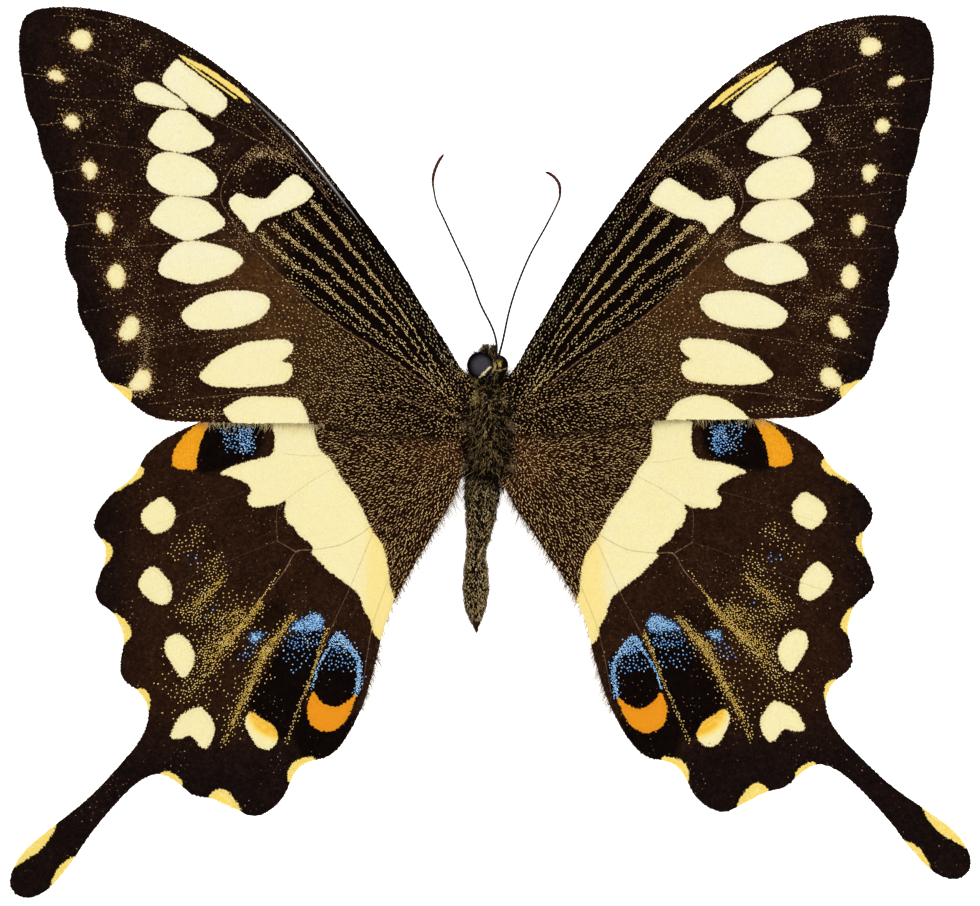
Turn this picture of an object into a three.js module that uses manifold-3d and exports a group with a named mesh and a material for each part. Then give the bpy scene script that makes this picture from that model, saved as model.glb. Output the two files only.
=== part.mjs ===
// Spread swallowtail butterfly: a dry insect specimen with its four wings open, lying on a surface.
// Millimetres. +X is the insect's right, +Y runs to its head, +Z is up, away from the surface.
// The origin is on the flat underside of the thorax, on the midline between the wing roots.

import * as THREE from "three";
import { mergeVertices } from "three/addons/utils/BufferGeometryUtils.js";
import Module from "manifold-3d";

const wasm = await Module();
wasm.setup();

// Driving dimensions
const WING_THICKNESS = 0.3;
const WING_GRID_STEP = 5;
const OUTLINE_STEPS_PER_POINT = 1.4;
const JOINT_GAP = 0.15;
const WING_CUTTER_DEPTH = 30;
const THORAX_CENTRE_HEIGHT = 2.7;
const THORAX_DEPTH_RATIO = 1.14;
const EYE_RADIUS = 1.25;
const HEAD_ROLL = THREE.MathUtils.degToRad(40);

// Height of a wing above the surface: it leaves the root at rootHeight, climbs by rise per millimetre,
// levels off by flatten per square millimetre, and droops behind the line from the root to the tip.
const FOREWING_SHEET = {
  root: [-2.2, 2.0],
  tip: [-46.4, 41.5],
  rootHeight: 4.7,
  rise: 0.075,
  flatten: 0.0004,
  droop: 0.0012,
};
const HINDWING_SHEET = {
  root: [-2.2, -2.0],
  tip: [-36.5, -5.0],
  rootHeight: 4.0,
  rise: 0.075,
  flatten: 0.0008,
  droop: 0,
};

// How the specimen's right wings were set: the mirrored left wing, scaled across and along the body,
// leaned by so much per millimetre, and shifted. The right hindwing's inner edge is tucked in besides.
const SET_AS_LEFT = { across: 1, along: 1, lean: 0, lift: 0, shift: [0, 0], tuck: 0 };
const SET_RIGHT_FOREWING = { across: 0.982, along: 0.97, lean: -0.05, lift: 0.003, shift: [0.43, 0.32], tuck: 0 };
const SET_RIGHT_HINDWING = { across: 1, along: 0.99, lean: -0.04, lift: 0.061, shift: [-1.3, -1.4], tuck: 0.65 };
const INNER_EDGE = { reach: 12, middle: -12.3, half: 9.5 };

// Outline of the left forewing, from the root along the front edge to the tip, down the wavy outer edge
// to the rear corner, and back along the rear edge.
const FOREWING_OUTLINE = [
  [-1.3, 4.6], [-2.6, 5.9], [-3.8, 8.0], [-5.8, 11.1], [-8.8, 16.0], [-11.8, 20.2], [-14.8, 24.1],
  [-18.8, 29.1], [-21.8, 32.1], [-23.8, 33.9], [-26.8, 36.3], [-28.8, 37.7], [-30.8, 38.9], [-32.8, 40.0],
  [-34.8, 40.9], [-36.8, 41.5], [-38.8, 41.9], [-40.8, 42.2], [-42.8, 42.2], [-44.3, 42.1], [-45.5, 41.8],
  [-46.2, 41.3], [-46.6, 40.4], [-46.8, 39.2], [-46.8, 37.5], [-46.7, 36.3], [-46.4, 35.1], [-46.3, 34.0],
  [-46.1, 32.7], [-45.6, 31.3], [-45.1, 30.4], [-44.9, 29.4], [-44.6, 27.8], [-44.1, 26.5], [-43.5, 25.5],
  [-43.4, 24.4], [-43.3, 23.0], [-42.8, 21.8], [-42.2, 20.9], [-41.8, 20.2], [-42.1, 19.2], [-42.3, 18.0],
  [-42.1, 16.7], [-41.7, 15.6], [-41.0, 14.6], [-40.9, 13.8], [-41.1, 12.8], [-40.9, 11.6], [-40.4, 10.3],
  [-39.6, 9.2], [-39.3, 8.3], [-39.2, 7.3], [-38.8, 6.1], [-38.2, 5.0], [-37.3, 4.3], [-36.5, 3.5],
  [-35.6, 2.7], [-34.6, 1.9], [-33.3, 1.2], [-31.8, 0.9], [-28.8, 0.8], [-24.8, 0.7], [-20.8, 0.7],
  [-17.8, 0.7], [-13.8, 0.2], [-8.8, -0.4], [-4.8, -0.7], [-2.3, -0.7], [-1.2, -0.5],
];

// Outline of the left hindwing, from the root along the front edge under the forewing, down the scalloped
// outer edge, round the tail, along the scallops behind it, and back up the inner edge beside the abdomen.
const HINDWING_OUTLINE = [
  [-1.2, -0.2], [-3.3, 0.6], [-6.8, 1.8], [-12.8, 2.8], [-18.8, 3.0], [-24.8, 2.3], [-28.3, 1.0],
  [-29.8, 0.4], [-31.8, -0.6], [-33.3, -1.6], [-34.4, -2.7], [-34.9, -3.7], [-35.4, -4.6], [-36.2, -5.3],
  [-37.1, -5.9], [-38.1, -6.9], [-39.0, -8.1], [-39.4, -9.1], [-39.4, -10.1], [-38.9, -10.7], [-38.4, -11.1],
  [-38.2, -11.9], [-38.2, -12.7], [-38.4, -13.5], [-38.9, -14.8], [-39.3, -16.0], [-39.2, -16.9],
  [-38.8, -17.4], [-37.8, -18.0], [-37.1, -18.7], [-36.7, -19.7], [-36.4, -20.7], [-36.4, -21.5],
  [-36.7, -22.7], [-36.8, -23.8], [-36.7, -24.8], [-36.0, -25.4], [-35.0, -26.0], [-34.4, -26.7],
  [-34.0, -27.6], [-33.9, -28.7], [-34.3, -30.1], [-35.1, -31.5], [-36.3, -32.9], [-37.8, -34.6],
  [-39.6, -36.5], [-41.6, -38.2], [-43.2, -39.4], [-44.8, -40.7], [-46.3, -42.0], [-47.3, -43.4],
  [-47.8, -44.7], [-47.8, -45.7], [-47.3, -46.5], [-46.3, -46.9], [-45.1, -46.6], [-44.0, -46.0],
  [-43.1, -45.0], [-42.2, -43.9], [-41.2, -42.6], [-40.6, -41.6], [-39.6, -40.2], [-38.4, -38.7],
  [-36.9, -37.0], [-35.4, -35.5], [-34.0, -34.6], [-32.8, -34.3], [-31.7, -34.8], [-30.6, -35.6],
  [-29.8, -36.4], [-28.8, -36.7], [-27.6, -36.8], [-26.2, -37.5], [-24.9, -38.0], [-24.2, -38.5],
  [-23.3, -38.7], [-22.2, -38.3], [-21.1, -37.5], [-20.2, -36.3], [-19.7, -34.9], [-19.1, -33.9],
  [-18.2, -33.2], [-17.2, -33.0], [-16.0, -32.7], [-15.1, -32.0], [-14.0, -30.5], [-13.0, -28.6],
  [-12.2, -26.6], [-11.5, -24.1], [-10.8, -21.3], [-10.1, -18.9], [-9.1, -16.6], [-7.8, -14.2],
  [-5.8, -10.9], [-4.1, -7.9], [-3.5, -7.0], [-3.1, -6.0], [-2.7, -4.8], [-2.1, -4.0], [-1.2, -3.4],
];

// Body profiles, as [distance along +Y, radius]. The thorax is widest at the forewing roots.
const THORAX_PROFILE = [
  [5.1, 0], [5.05, 1.45], [4.6, 1.95], [3.4, 2.35], [1.9, 2.58], [0.2, 2.6], [-1.6, 2.42], [-3.2, 2.15],
  [-4.3, 1.9], [-4.7, 1.4], [-4.75, 0],
];

// The abdomen's centreline, as [x, y, z, half width], from the waist behind the thorax to the tip.
// It bends to the insect's left, sags to the surface and swells again before the tip.
const ABDOMEN_STATIONS = [
  [-0.5, -5.0, 2.9, 1.68], [-0.6, -6.2, 2.75, 1.68], [-0.7, -8.0, 2.45, 1.56], [-0.85, -9.8, 2.1, 1.3],
  [-1.05, -11.2, 1.8, 1.05], [-1.22, -12.3, 1.55, 0.95], [-1.22, -13.6, 1.36, 1.14],
  [-1.2, -15.2, 1.29, 1.27], [-1.25, -16.8, 1.22, 1.18], [-1.28, -18.2, 1.12, 0.82],
  [-1.22, -19.4, 1.02, 0.42], [-1.15, -20.2, 0.95, 0.12],
];
const ABDOMEN_SIDES = 14;

// Antennae from the brow to the club's tip, as [x, y, z]: each sweeps out and hooks back at the end.
const ANTENNA_LEFT = [
  [0.85, 7.95, 4.75], [0.8, 9.0, 5.0], [0.35, 10.4, 5.25], [-0.8, 12.7, 5.5], [-1.8, 15.5, 5.7],
  [-3.2, 18.5, 5.9], [-4.6, 21.5, 6.05], [-5.15, 22.7, 6.1], [-5.45, 24.2, 6.15], [-5.5, 25.1, 6.2],
  [-5.3, 26.0, 6.2], [-4.9, 26.9, 6.2], [-4.4, 27.6, 6.2],
];
const ANTENNA_RIGHT = [
  [1.2, 7.85, 4.7], [1.5, 9.0, 5.0], [2.1, 11.8, 5.3], [2.9, 14.4, 5.6], [4.2, 17.5, 5.8], [5.8, 20.4, 6.0],
  [7.0, 22.8, 6.1], [7.2, 23.8, 6.15], [7.1, 24.6, 6.2], [6.7, 25.2, 6.2], [6.2, 25.6, 6.2], [5.7, 25.8, 6.2],
];
const ANTENNA_RADIUS = 0.11;
const CLUB_RADIUS = 0.24;
const CLUB_SHARE = 0.17;

// Left legs, as thorax joint, knee, ankle and foot. They fold under the wings and stand on the surface.
const LEG_RADII = { femur: 0.34, tibia: 0.24, tarsus: 0.17 };
const LEGS = {
  foreleg: [[-1.5, 3.2, 0.9], [-4.2, 4.6, 2.2], [-5.6, 6.2, 0.45], [-6.4, 8.4, LEG_RADII.tarsus]],
  midleg: [[-1.7, 0.2, 0.9], [-5.2, 0.4, 2.4], [-7.4, -0.2, 0.45], [-10.0, -0.9, LEG_RADII.tarsus]],
  hindleg: [[-1.5, -2.8, 0.9], [-4.6, -4.0, 2.3], [-6.2, -6.2, 0.45], [-7.6, -8.8, LEG_RADII.tarsus]],
};

const HEAD_CENTRE = [0, 6.55, 3.5];
const HEAD_HALF_SIZE = [1.65, 1.35, 1.55];
const EYE_PLACE = [1.4, 0.1, 0.3];
const HEAD_CLEARANCE_RATIO = 1.06;
const PALP_LENGTH = 1.05;
const PALP_RADIUS = 0.42;
const PALP_SINK = 0.35;
const PALP_PLACE = [0.55, 0.25];
const COIL_TURNS = 2;
const COIL_RADIUS = 0.85;
const COIL_WIRE_RADIUS = 0.11;
const COIL_SHRINK = 0.7;
const COIL_CENTRE = [0, 7.1, 1.15];

const MATERIALS = {
  wing: new THREE.MeshStandardMaterial({ color: 0x2a190f, roughness: 0.75, metalness: 0 }),
  body: new THREE.MeshStandardMaterial({ color: 0x3a2e1c, roughness: 0.85, metalness: 0 }),
  eye: new THREE.MeshStandardMaterial({ color: 0x2b2c30, roughness: 0.25, metalness: 0 }),
  limb: new THREE.MeshStandardMaterial({ color: 0x1a120e, roughness: 0.5, metalness: 0 }),
};

// A three.js geometry as a solid that can be joined and cut
function solidOf(geometry) {
  const bare = geometry.index ? geometry.toNonIndexed() : geometry.clone();
  bare.deleteAttribute("normal");
  bare.deleteAttribute("uv");
  const merged = mergeVertices(bare, 1e-5);
  const corners = merged.index.array;
  const triVerts = [];
  for (let i = 0; i < corners.length; i += 3) {
    const [a, b, c] = [corners[i], corners[i + 1], corners[i + 2]];
    if (a !== b && b !== c && c !== a) triVerts.push(a, b, c);
  }
  return new wasm.Manifold(
    new wasm.Mesh({
      numProp: 3,
      vertProperties: merged.attributes.position.array,
      triVerts: new Uint32Array(triVerts),
    }),
  );
}

function geometryOf(solid) {
  const mesh = solid.getMesh();
  const geometry = new THREE.BufferGeometry();
  geometry.setAttribute("position", new THREE.BufferAttribute(new Float32Array(mesh.vertProperties), 3));
  geometry.setIndex(new THREE.BufferAttribute(new Uint32Array(mesh.triVerts), 1));
  geometry.computeVertexNormals();
  return geometry;
}

// Moves every vertex of a geometry to where change sends it
function reshape(geometry, change) {
  const place = geometry.getAttribute("position");
  const vertex = new THREE.Vector3();
  for (let i = 0; i < place.count; i += 1) {
    change(vertex.fromBufferAttribute(place, i));
    place.setXYZ(i, vertex.x, vertex.y, vertex.z);
  }
  return geometry;
}

function meshOf(name, solid, material) {
  const mesh = new THREE.Mesh(geometryOf(solid), material);
  mesh.name = name;
  return mesh;
}

// Thorax: a barrel along Y, deeper than wide, flat where it lies on the surface
function thoraxSolid(growth) {
  const profile = THORAX_PROFILE.map(([y, radius], i) => {
    const end = i === 0 ? growth : i === THORAX_PROFILE.length - 1 ? -growth : 0;
    return new THREE.Vector2(radius > 0 ? radius + growth : 0, y + end);
  }).reverse();
  const barrel = new THREE.LatheGeometry(profile, 20);
  reshape(barrel, (v) => {
    const height = THORAX_CENTRE_HEIGHT + v.z * THORAX_DEPTH_RATIO;
    v.z = Math.max(height, -growth);
  });
  return solidOf(barrel);
}

const thorax = thoraxSolid(0);
const thoraxClearance = thoraxSolid(JOINT_GAP);

// Wings
function setPoint([x, y], set) {
  const outward = -x;
  const offMiddle = (y - INNER_EDGE.middle) / INNER_EDGE.half;
  const tuck = outward < INNER_EDGE.reach ? set.tuck * Math.max(0, 1 - offMiddle ** 2) : 0;
  return [
    set.across * outward + set.lean * y + set.shift[0] + tuck,
    set.lift * outward + set.along * y + set.shift[1],
  ];
}

function sheetHeight(sheet, x, y) {
  const [along, back] = [x - sheet.root[0], y - sheet.root[1]];
  const reach = Math.hypot(along, back);
  const [spanX, spanY] = [sheet.tip[0] - sheet.root[0], sheet.tip[1] - sheet.root[1]];
  const behind = Math.max(0, (spanX * back - spanY * along) / Math.hypot(spanX, spanY));
  return sheet.rootHeight + sheet.rise * reach - sheet.flatten * reach ** 2 - sheet.droop * behind ** 2;
}

// side is -1 for a left wing and 1 for a right one, whose set places the mirrored outline
function wingSolid(outline, sheet, side, set) {
  const placed = outline.map((point) => {
    const [outward, y] = setPoint(point, set);
    return new THREE.Vector3(side * outward, y, 0);
  });
  const smooth = new THREE.CatmullRomCurve3(placed, true, "centripetal");
  const rim = smooth.getPoints(Math.round(placed.length * OUTLINE_STEPS_PER_POINT));
  const shape = new THREE.Shape(rim.slice(0, -1).map((p) => new THREE.Vector2(p.x, p.y)));
  const prism = new THREE.ExtrudeGeometry(shape, { depth: WING_CUTTER_DEPTH, bevelEnabled: false });

  const box = new THREE.Box2().setFromPoints(rim.map((p) => new THREE.Vector2(p.x, p.y)));
  const size = box.getSize(new THREE.Vector2()).addScalar(2);
  const middle = box.getCenter(new THREE.Vector2());
  const steps = [Math.ceil(size.x / WING_GRID_STEP), Math.ceil(size.y / WING_GRID_STEP)];
  const slab = new THREE.BoxGeometry(size.x, size.y, WING_THICKNESS, steps[0], steps[1], 1);
  slab.translate(middle.x, middle.y, 0);
  reshape(slab, (v) => {
    v.z += sheetHeight(sheet, -Math.abs(v.x), v.y);
  });
  return solidOf(prism).intersect(solidOf(slab)).subtract(thoraxClearance);
}

// Abdomen: a stack of round sections swept along its stations, with a lip at the back of each segment
function abdomenSolid() {
  const centres = new THREE.CatmullRomCurve3(ABDOMEN_STATIONS.map(([x, y, z]) => new THREE.Vector3(x, y, z)));
  const rings = ABDOMEN_STATIONS.length - 1;
  const tube = new THREE.CylinderGeometry(1, 1, 1, ABDOMEN_SIDES, rings * 2);
  reshape(tube, (v) => {
    const share = 0.5 - v.y;
    const station = share * rings;
    const before = Math.min(Math.floor(station + 1e-6), rings - 1);
    const between = station - before;
    const [from, to] = [ABDOMEN_STATIONS[before], ABDOMEN_STATIONS[before + 1]];
    const halfWidth = THREE.MathUtils.lerp(from[3], to[3], between);
    const lip = Math.abs(between - 0.5) < 0.1 ? 1.05 : 1;
    const centre = centres.getPoint(share);
    v.set(centre.x + v.x * halfWidth * lip, centre.y, Math.max(0, centre.z + v.z * halfWidth * lip));
  });
  return solidOf(tube);
}

// A swept round tube along a smooth curve
function tubeAlong(curve, radius, sides, steps) {
  const section = new THREE.Shape();
  for (let i = 0; i < sides; i += 1) {
    const angle = (2 * Math.PI * i) / sides;
    const corner = [radius * Math.cos(angle), radius * Math.sin(angle)];
    if (i === 0) section.moveTo(...corner);
    else section.lineTo(...corner);
  }
  return solidOf(new THREE.ExtrudeGeometry(section, { extrudePath: curve, steps, bevelEnabled: false }));
}

function antennaSolid(points) {
  const path = new THREE.CatmullRomCurve3(points.map((p) => new THREE.Vector3(...p)));
  const clubPoints = [];
  const clubSteps = 8;
  for (let i = 0; i <= clubSteps; i += 1) {
    clubPoints.push(path.getPointAt(1 - CLUB_SHARE * (1 - i / clubSteps)));
  }
  const club = tubeAlong(new THREE.CatmullRomCurve3(clubPoints), CLUB_RADIUS, 6, clubSteps);
  return tubeAlong(path, ANTENNA_RADIUS, 6, 24).add(club);
}

// Legs
function limbBetween(from, to, radius) {
  const [start, end] = [new THREE.Vector3(...from), new THREE.Vector3(...to)];
  const length = start.distanceTo(end);
  const limb = new THREE.CapsuleGeometry(radius, length, 2, 6);
  limb.translate(0, length / 2, 0);
  const direction = end.clone().sub(start).normalize();
  limb.applyQuaternion(new THREE.Quaternion().setFromUnitVectors(new THREE.Vector3(0, 1, 0), direction));
  limb.translate(start.x, start.y, start.z);
  return solidOf(limb);
}

function legSolid([joint, knee, ankle, foot], side) {
  const onSide = ([x, y, z]) => [-side * x, y, z];
  return limbBetween(onSide(joint), onSide(knee), LEG_RADII.femur)
    .add(limbBetween(onSide(knee), onSide(ankle), LEG_RADII.tibia))
    .add(limbBetween(onSide(ankle), onSide(foot), LEG_RADII.tarsus))
    .subtract(thoraxClearance);
}

// Head: rolled so that its left eye turns up, with sockets for the eyes
function inHead(solid) {
  const roll = new THREE.Matrix4().makeRotationY(HEAD_ROLL).setPosition(...HEAD_CENTRE);
  return solid.transform(roll.elements);
}

function eyeSolid(side, growth) {
  const eye = new THREE.SphereGeometry(EYE_RADIUS + growth, 14, 10);
  eye.translate(side * EYE_PLACE[0], EYE_PLACE[1], EYE_PLACE[2]);
  return inHead(solidOf(eye));
}

function palpSolid(side) {
  const palp = new THREE.CapsuleGeometry(PALP_RADIUS, PALP_LENGTH - 2 * PALP_RADIUS, 3, 8);
  palp.translate(side * PALP_PLACE[0], HEAD_HALF_SIZE[1] + PALP_LENGTH / 2 - PALP_SINK, PALP_PLACE[1]);
  return inHead(solidOf(palp));
}

function proboscisSolid() {
  const points = [];
  const steps = 22;
  for (let i = 0; i <= steps; i += 1) {
    const share = i / steps;
    const angle = Math.PI / 2 + share * COIL_TURNS * 2 * Math.PI;
    const radius = COIL_RADIUS * (1 - COIL_SHRINK * share);
    points.push(new THREE.Vector3(0, radius * Math.cos(angle), radius * Math.sin(angle)));
  }
  const coil = tubeAlong(new THREE.CatmullRomCurve3(points), COIL_WIRE_RADIUS, 6, 40);
  const under = new THREE.Matrix4().setPosition(...COIL_CENTRE);
  return coil.transform(under.elements);
}

const eyes = [eyeSolid(-1, 0), eyeSolid(1, 0)];
const eyeClearance = eyeSolid(-1, JOINT_GAP / 2).add(eyeSolid(1, JOINT_GAP / 2));
const palps = [palpSolid(-1), palpSolid(1)];
const proboscis = proboscisSolid();
const skull = new THREE.SphereGeometry(1, 16, 12).scale(...HEAD_HALF_SIZE);
const head = inHead(solidOf(skull)).subtract(eyeClearance).subtract(thoraxClearance);
const headClearance = inHead(solidOf(skull).scale(HEAD_CLEARANCE_RATIO));

// The specimen
const specimen = new THREE.Group();
specimen.add(meshOf("thorax", thorax, MATERIALS.body));
specimen.add(meshOf("abdomen", abdomenSolid().subtract(thoraxClearance), MATERIALS.body));
specimen.add(meshOf("head", head, MATERIALS.body));
specimen.add(meshOf("proboscis", proboscis.subtract(headClearance), MATERIALS.limb));

const sides = [
  { label: "left", side: -1, sets: [SET_AS_LEFT, SET_AS_LEFT], antenna: ANTENNA_LEFT },
  { label: "right", side: 1, sets: [SET_RIGHT_FOREWING, SET_RIGHT_HINDWING], antenna: ANTENNA_RIGHT },
];
for (const { label, side, sets, antenna } of sides) {
  const index = side < 0 ? 0 : 1;
  const feeler = antennaSolid(antenna).subtract(headClearance).subtract(eyeClearance);
  specimen.add(
    meshOf(`forewing_${label}`, wingSolid(FOREWING_OUTLINE, FOREWING_SHEET, side, sets[0]), MATERIALS.wing),
    meshOf(`hindwing_${label}`, wingSolid(HINDWING_OUTLINE, HINDWING_SHEET, side, sets[1]), MATERIALS.wing),
    meshOf(`eye_${label}`, eyes[index].subtract(thoraxClearance), MATERIALS.eye),
    meshOf(`palp_${label}`, palps[index].subtract(headClearance).subtract(eyeClearance), MATERIALS.body),
    meshOf(`antenna_${label}`, feeler, MATERIALS.limb),
  );
  for (const [name, joints] of Object.entries(LEGS)) {
    specimen.add(meshOf(`${name}_${label}`, legSolid(joints, side), MATERIALS.limb));
  }
}

export default specimen;
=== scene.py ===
"""Spread swallowtail butterfly, a dry insect specimen lying on its underside.

The wings are thin membranes tiled with separate scales, the body is furred, and everything sits in the
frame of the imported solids, in metres, with +X to the insect's right, +Y to its head and +Z up.
"""

import math

import bpy
import numpy as np
from mathutils.geometry import delaunay_2d_cdt
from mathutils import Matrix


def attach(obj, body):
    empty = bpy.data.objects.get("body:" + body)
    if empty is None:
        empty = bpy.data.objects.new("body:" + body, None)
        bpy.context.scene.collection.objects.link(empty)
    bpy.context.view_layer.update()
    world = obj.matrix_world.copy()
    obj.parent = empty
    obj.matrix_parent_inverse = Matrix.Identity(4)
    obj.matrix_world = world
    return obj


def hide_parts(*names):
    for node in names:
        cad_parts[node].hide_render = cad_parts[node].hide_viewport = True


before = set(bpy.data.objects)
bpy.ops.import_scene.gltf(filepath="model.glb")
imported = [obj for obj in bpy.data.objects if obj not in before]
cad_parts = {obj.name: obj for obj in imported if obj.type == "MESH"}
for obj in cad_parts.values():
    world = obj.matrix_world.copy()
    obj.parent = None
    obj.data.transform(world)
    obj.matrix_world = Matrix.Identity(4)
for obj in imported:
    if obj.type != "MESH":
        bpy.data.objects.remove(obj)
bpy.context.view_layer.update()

bl_info = {
    "name": "Spread swallowtail specimen",
    "version": (1, 0, 0),
    "blender": (4, 5, 0),
    "location": "View3D > Sidebar > Specimen",
    "description": "Dresses the solids of a spread butterfly in scales, fur and cuticle",
    "category": "Object",
}

MM = 0.001

# Sheets that the wings lie on, as in the solids: height at the root, climb and levelling per millimetre
# of reach, and droop behind the line from root to tip.
SHEETS = {
    "forewing": {"root": (-2.2, 2.0), "tip": (-46.4, 41.5), "height": 4.7, "rise": 0.075,
                 "flatten": 0.0004, "droop": 0.0012},
    "hindwing": {"root": (-2.2, -2.0), "tip": (-36.5, -5.0), "height": 4.0, "rise": 0.075,
                 "flatten": 0.0008, "droop": 0.0},
}

# The right wings as they were set: the mirrored left wing, scaled across and along, leaned and shifted.
# Their markings lie a little off the left wing's besides: most of all about some places on the left wing's
# drawing, fading across and down it, by so much out from the body and back.
RIGHT_SETS = {
    "forewing": {"across": 0.982, "along": 0.97, "lean": -0.05, "lift": 0.003, "shift": (0.43, 0.32),
                 "off": (((70, 95), (75, 75), (-3.2, -0.8)),)},
    "hindwing": {"across": 1.0, "along": 0.99, "lean": -0.04, "lift": 0.061, "shift": (-1.3, -1.4),
                 "off": (((325, 482), (90, 62), (6.4, 4.5)), ((160, 590), (60, 100), (1.5, 3.5)))},
}

# The markings are drawn on a sheet in tenths of a millimetre, x to the right and y down the page.
# This is where the sheet shows the origin, and the forewing's root.
SHEET_SCALE = 10.0
SHEET_ZERO = (488.0, 430.0)
FOREWING_ROOT = (474, 416)

FOREWING_SPOTS = {
    "apex spot": "70,42 74,34 82,31 90,33 93,41 90,48 82,51 75,46",
    "edge spot 2": "48,75 53,71 60,72 65,77 66,80 60,82.5 53,80",
    "edge spot 3": "64,122 68,117 73,115 79,118 81,124 78,129 73,130 67,126",
    "edge spot 4": "81,169 86,162 92,162 97,165 98,172 95,178 91,181 84,172",
    "edge spot 5": "97,220 101,213 107,213 112,217 114,225 112,231 107,235 101,230",
    "edge spot 6": "107,275 112,266 117,264 123,268 126,278 124,285 118,289 111,286",
    "edge spot 7": "118,334 123,326 128,318 133,316 139,320 140,327 137,336 127,341 122,338",
    "edge spot 8": "130,384 138,371 146,370 152,376 151,383 147,390 131,390",
}
FOREWING_BAND = {
    "band spot 1": "176,60 171,66 166,72 163,78 164,84 167,88 180,97 190,106 200,113 208,115 215,118.5 "
    "220,113 "
    "226,110 227.5,100 220,92 205,80 190,69 180,61",
    "band spot 2": "134,90 138,85 145,83 152,83 160,86 170,92 180,99 188,106 185,110.5 165,107 152,105 "
    "142,102 137,98",
    "band spot 3": "148,136 157,121 163,114 170,110.5 180,110.5 190,113 202,125 214,137 215,141 212,146 "
    "205,148 "
    "188,153.5 167,151 158,147 151,141",
    "band spot 4": "147,176 149,164 153,158 160,154 168,152.5 180,154 200,161 214,173 218,180 217,187 "
    "214,192 205,196 "
    "190,197 167,195 158,190 150,184",
    "band spot 5": "150,219.5 158,207 164,201 170,197 182,196.5 203,200 212,206 219,213 226,222 222,229 "
    "205,236 "
    "188,241.5 172,235 156,226",
    "band spot 6": "159,268 163,257 176,245 184,242 194,241 213,244 235,251 244,261 236,270 230,275 "
    "205,283 195,284.5 "
    "178,281 161,275",
    "band spot 7": "181,315 184,310 195,302 205,296 220,292 235,290.5 250,291.5 262,294 269,298 271,304 "
    "268,311 "
    "262,318 252,323 240,327 228,329 200,330 190,327 184,321",
    "band spot 8": "199,377 205,369 213,360 225,352 238,345.5 252,341.5 278,339.5 288,340 294,348 "
    "287,358 281,361 "
    "290,363 293,368 292,375 288,381 280,384 250,387.5 220,387 208,384",
    "band spot 9": "223,409 230,405 240,399 248,397 260,396 285,397 296,398 302,403 306,410 309,421.5 "
    "309,430 280,430 "
    "245,430 228,418",
    "cell bar": "229,204 231,198 236,194 242,193.5 250,198 264,199 268,198 272,193 278,188 284,182 "
    "290,177 295,174.5 "
    "305,181 314,191 309,200 303,204 288,211 272,217 264,220 259,224 253,234 249,232 247,226 238,217 "
    "233,211",
}
# Markings of the right forewing that differ from the left one's
RIGHT_FOREWING_BAND = {
    "cell bar": "649,199 655,190 660,184 668,178 680,184 688,190 696,194 702,199 710,201 718,199 "
    "727,196 732,200 "
    "735,207 733,215 726,220 720,226 711,235 707,231 705,225 698,221 690,219 680,218 672,213 662,208 "
    "655,205",
    "band spot 9": "666,419 670,410 677,402 685,398 695,395.5 706,395 722,398 732,404 741,410 748,417 "
    "749,424 720,424 "
    "690,424 667,424",
}
FOREWING_YELLOW = {
    "front streak": "177.5,54.5 196.5,63 209,68.7 223,78.5 237,88 251.5,102 250,104.5 241,98.5 228,88.5 "
    "214,78.2 203,71.4 "
    "190,63.7",
    "fine line": "179,55.8 190,64 203.5,73.9 214.5,81.7 226,89.9 239,99.2 237,100.2 225.2,91.8 "
    "213.5,83.4 202.7,75.7 "
    "189.4,65.7",
    "rear corner fringe": "106,382 122,386 130,388 133,392 131,402 122,404 110,394",
}
FOREWING_CELL = (
    "226,178 221,199 232,220 255,250 308,301 350,333 390,358 440,395 464,404 478,372 440,298 402,240 "
    "354,188 "
    "314,170 285,150 255,140 235,155"
)
# Veins, as a path out from the root and how plainly it shows
FOREWING_VEINS = (
    ("118,25 90,18.5 56,16", 0.35),
    ("47,77 24,74", 0.8),
    ("64,123 38,126", 0.7),
    ("77,170 53,174", 0.7),
    ("93,223 69,227", 0.7),
    ("252,102 280,134 308,170 330,198", 0.5),
    ("240,112 270,140 300,166 316,184 340,215", 0.5),
    ("332,187 290,160 250,137 210,118 190,107 165,88 150,82 110,65 88,58", 0.6),
    ("190,107 160,108.5 120,102 50,99", 0.4),
    ("226,170 200,158 165,152 90,143", 0.35),
    ("222,199 165,196 100,193 62,188", 0.35),
    ("250,240 228,240 190,242.5 140,246 100,248 76,246", 0.25),
    ("300,288 250,286 190,290 130,302 84,312", 0.2),
    ("340,326 300,333 250,333 200,339 120,355 100,362", 0.2),
    ("470,420 400,398 330,392 240,394 150,404", 0.35),
    ("262,142 240,160 226,178 221,199 232,220 255,250 308,301 340,326", 0.6),
    ("340,326 350,333 390,358 430,388", 0.7),
)
HINDWING_CREAM = {
    "band": "274,418 309,416 315,435 319,448 325,454 333,462 342,478 355,495 365,514 372,530 383,545 "
    "388,565 391,588 "
    "395,598 390,615 386,628 382,640 373,633 371,622 364,610 359,595 348,585 330,572 318,560 310,552 "
    "314,548.5 "
    "308,542 298,535 294,526 288,524 284,510 287,499 280,504 268,506 252,507 247,498 252,490 246,483 "
    "240,480 "
    "226,475 219,474 230,467 252,460 271,455 275,440 273,426",
    "spot 1": "141,518 143,510 150,504 158,498 164,496.5 173,505 176,513 171,527 155,534 144,525",
    "spot 2": "138,582 147,569 152,566 160,570 171,584 171,600 160,605 144,595",
    "spot 3": "165,643 168,637 177,633.5 187,639 195,655 191,671 182,678 173,666 165,651",
    "spot 4": "170,738 176,722 180,716 196,707 203,708 213,721 215,732 209,746 203,748.5 195,740 "
    "190,735 183,738",
    "spot 5": "245,720 251,711.5 261,718 274,726 278.5,738 271,749 258,747 248,731",
}
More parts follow.
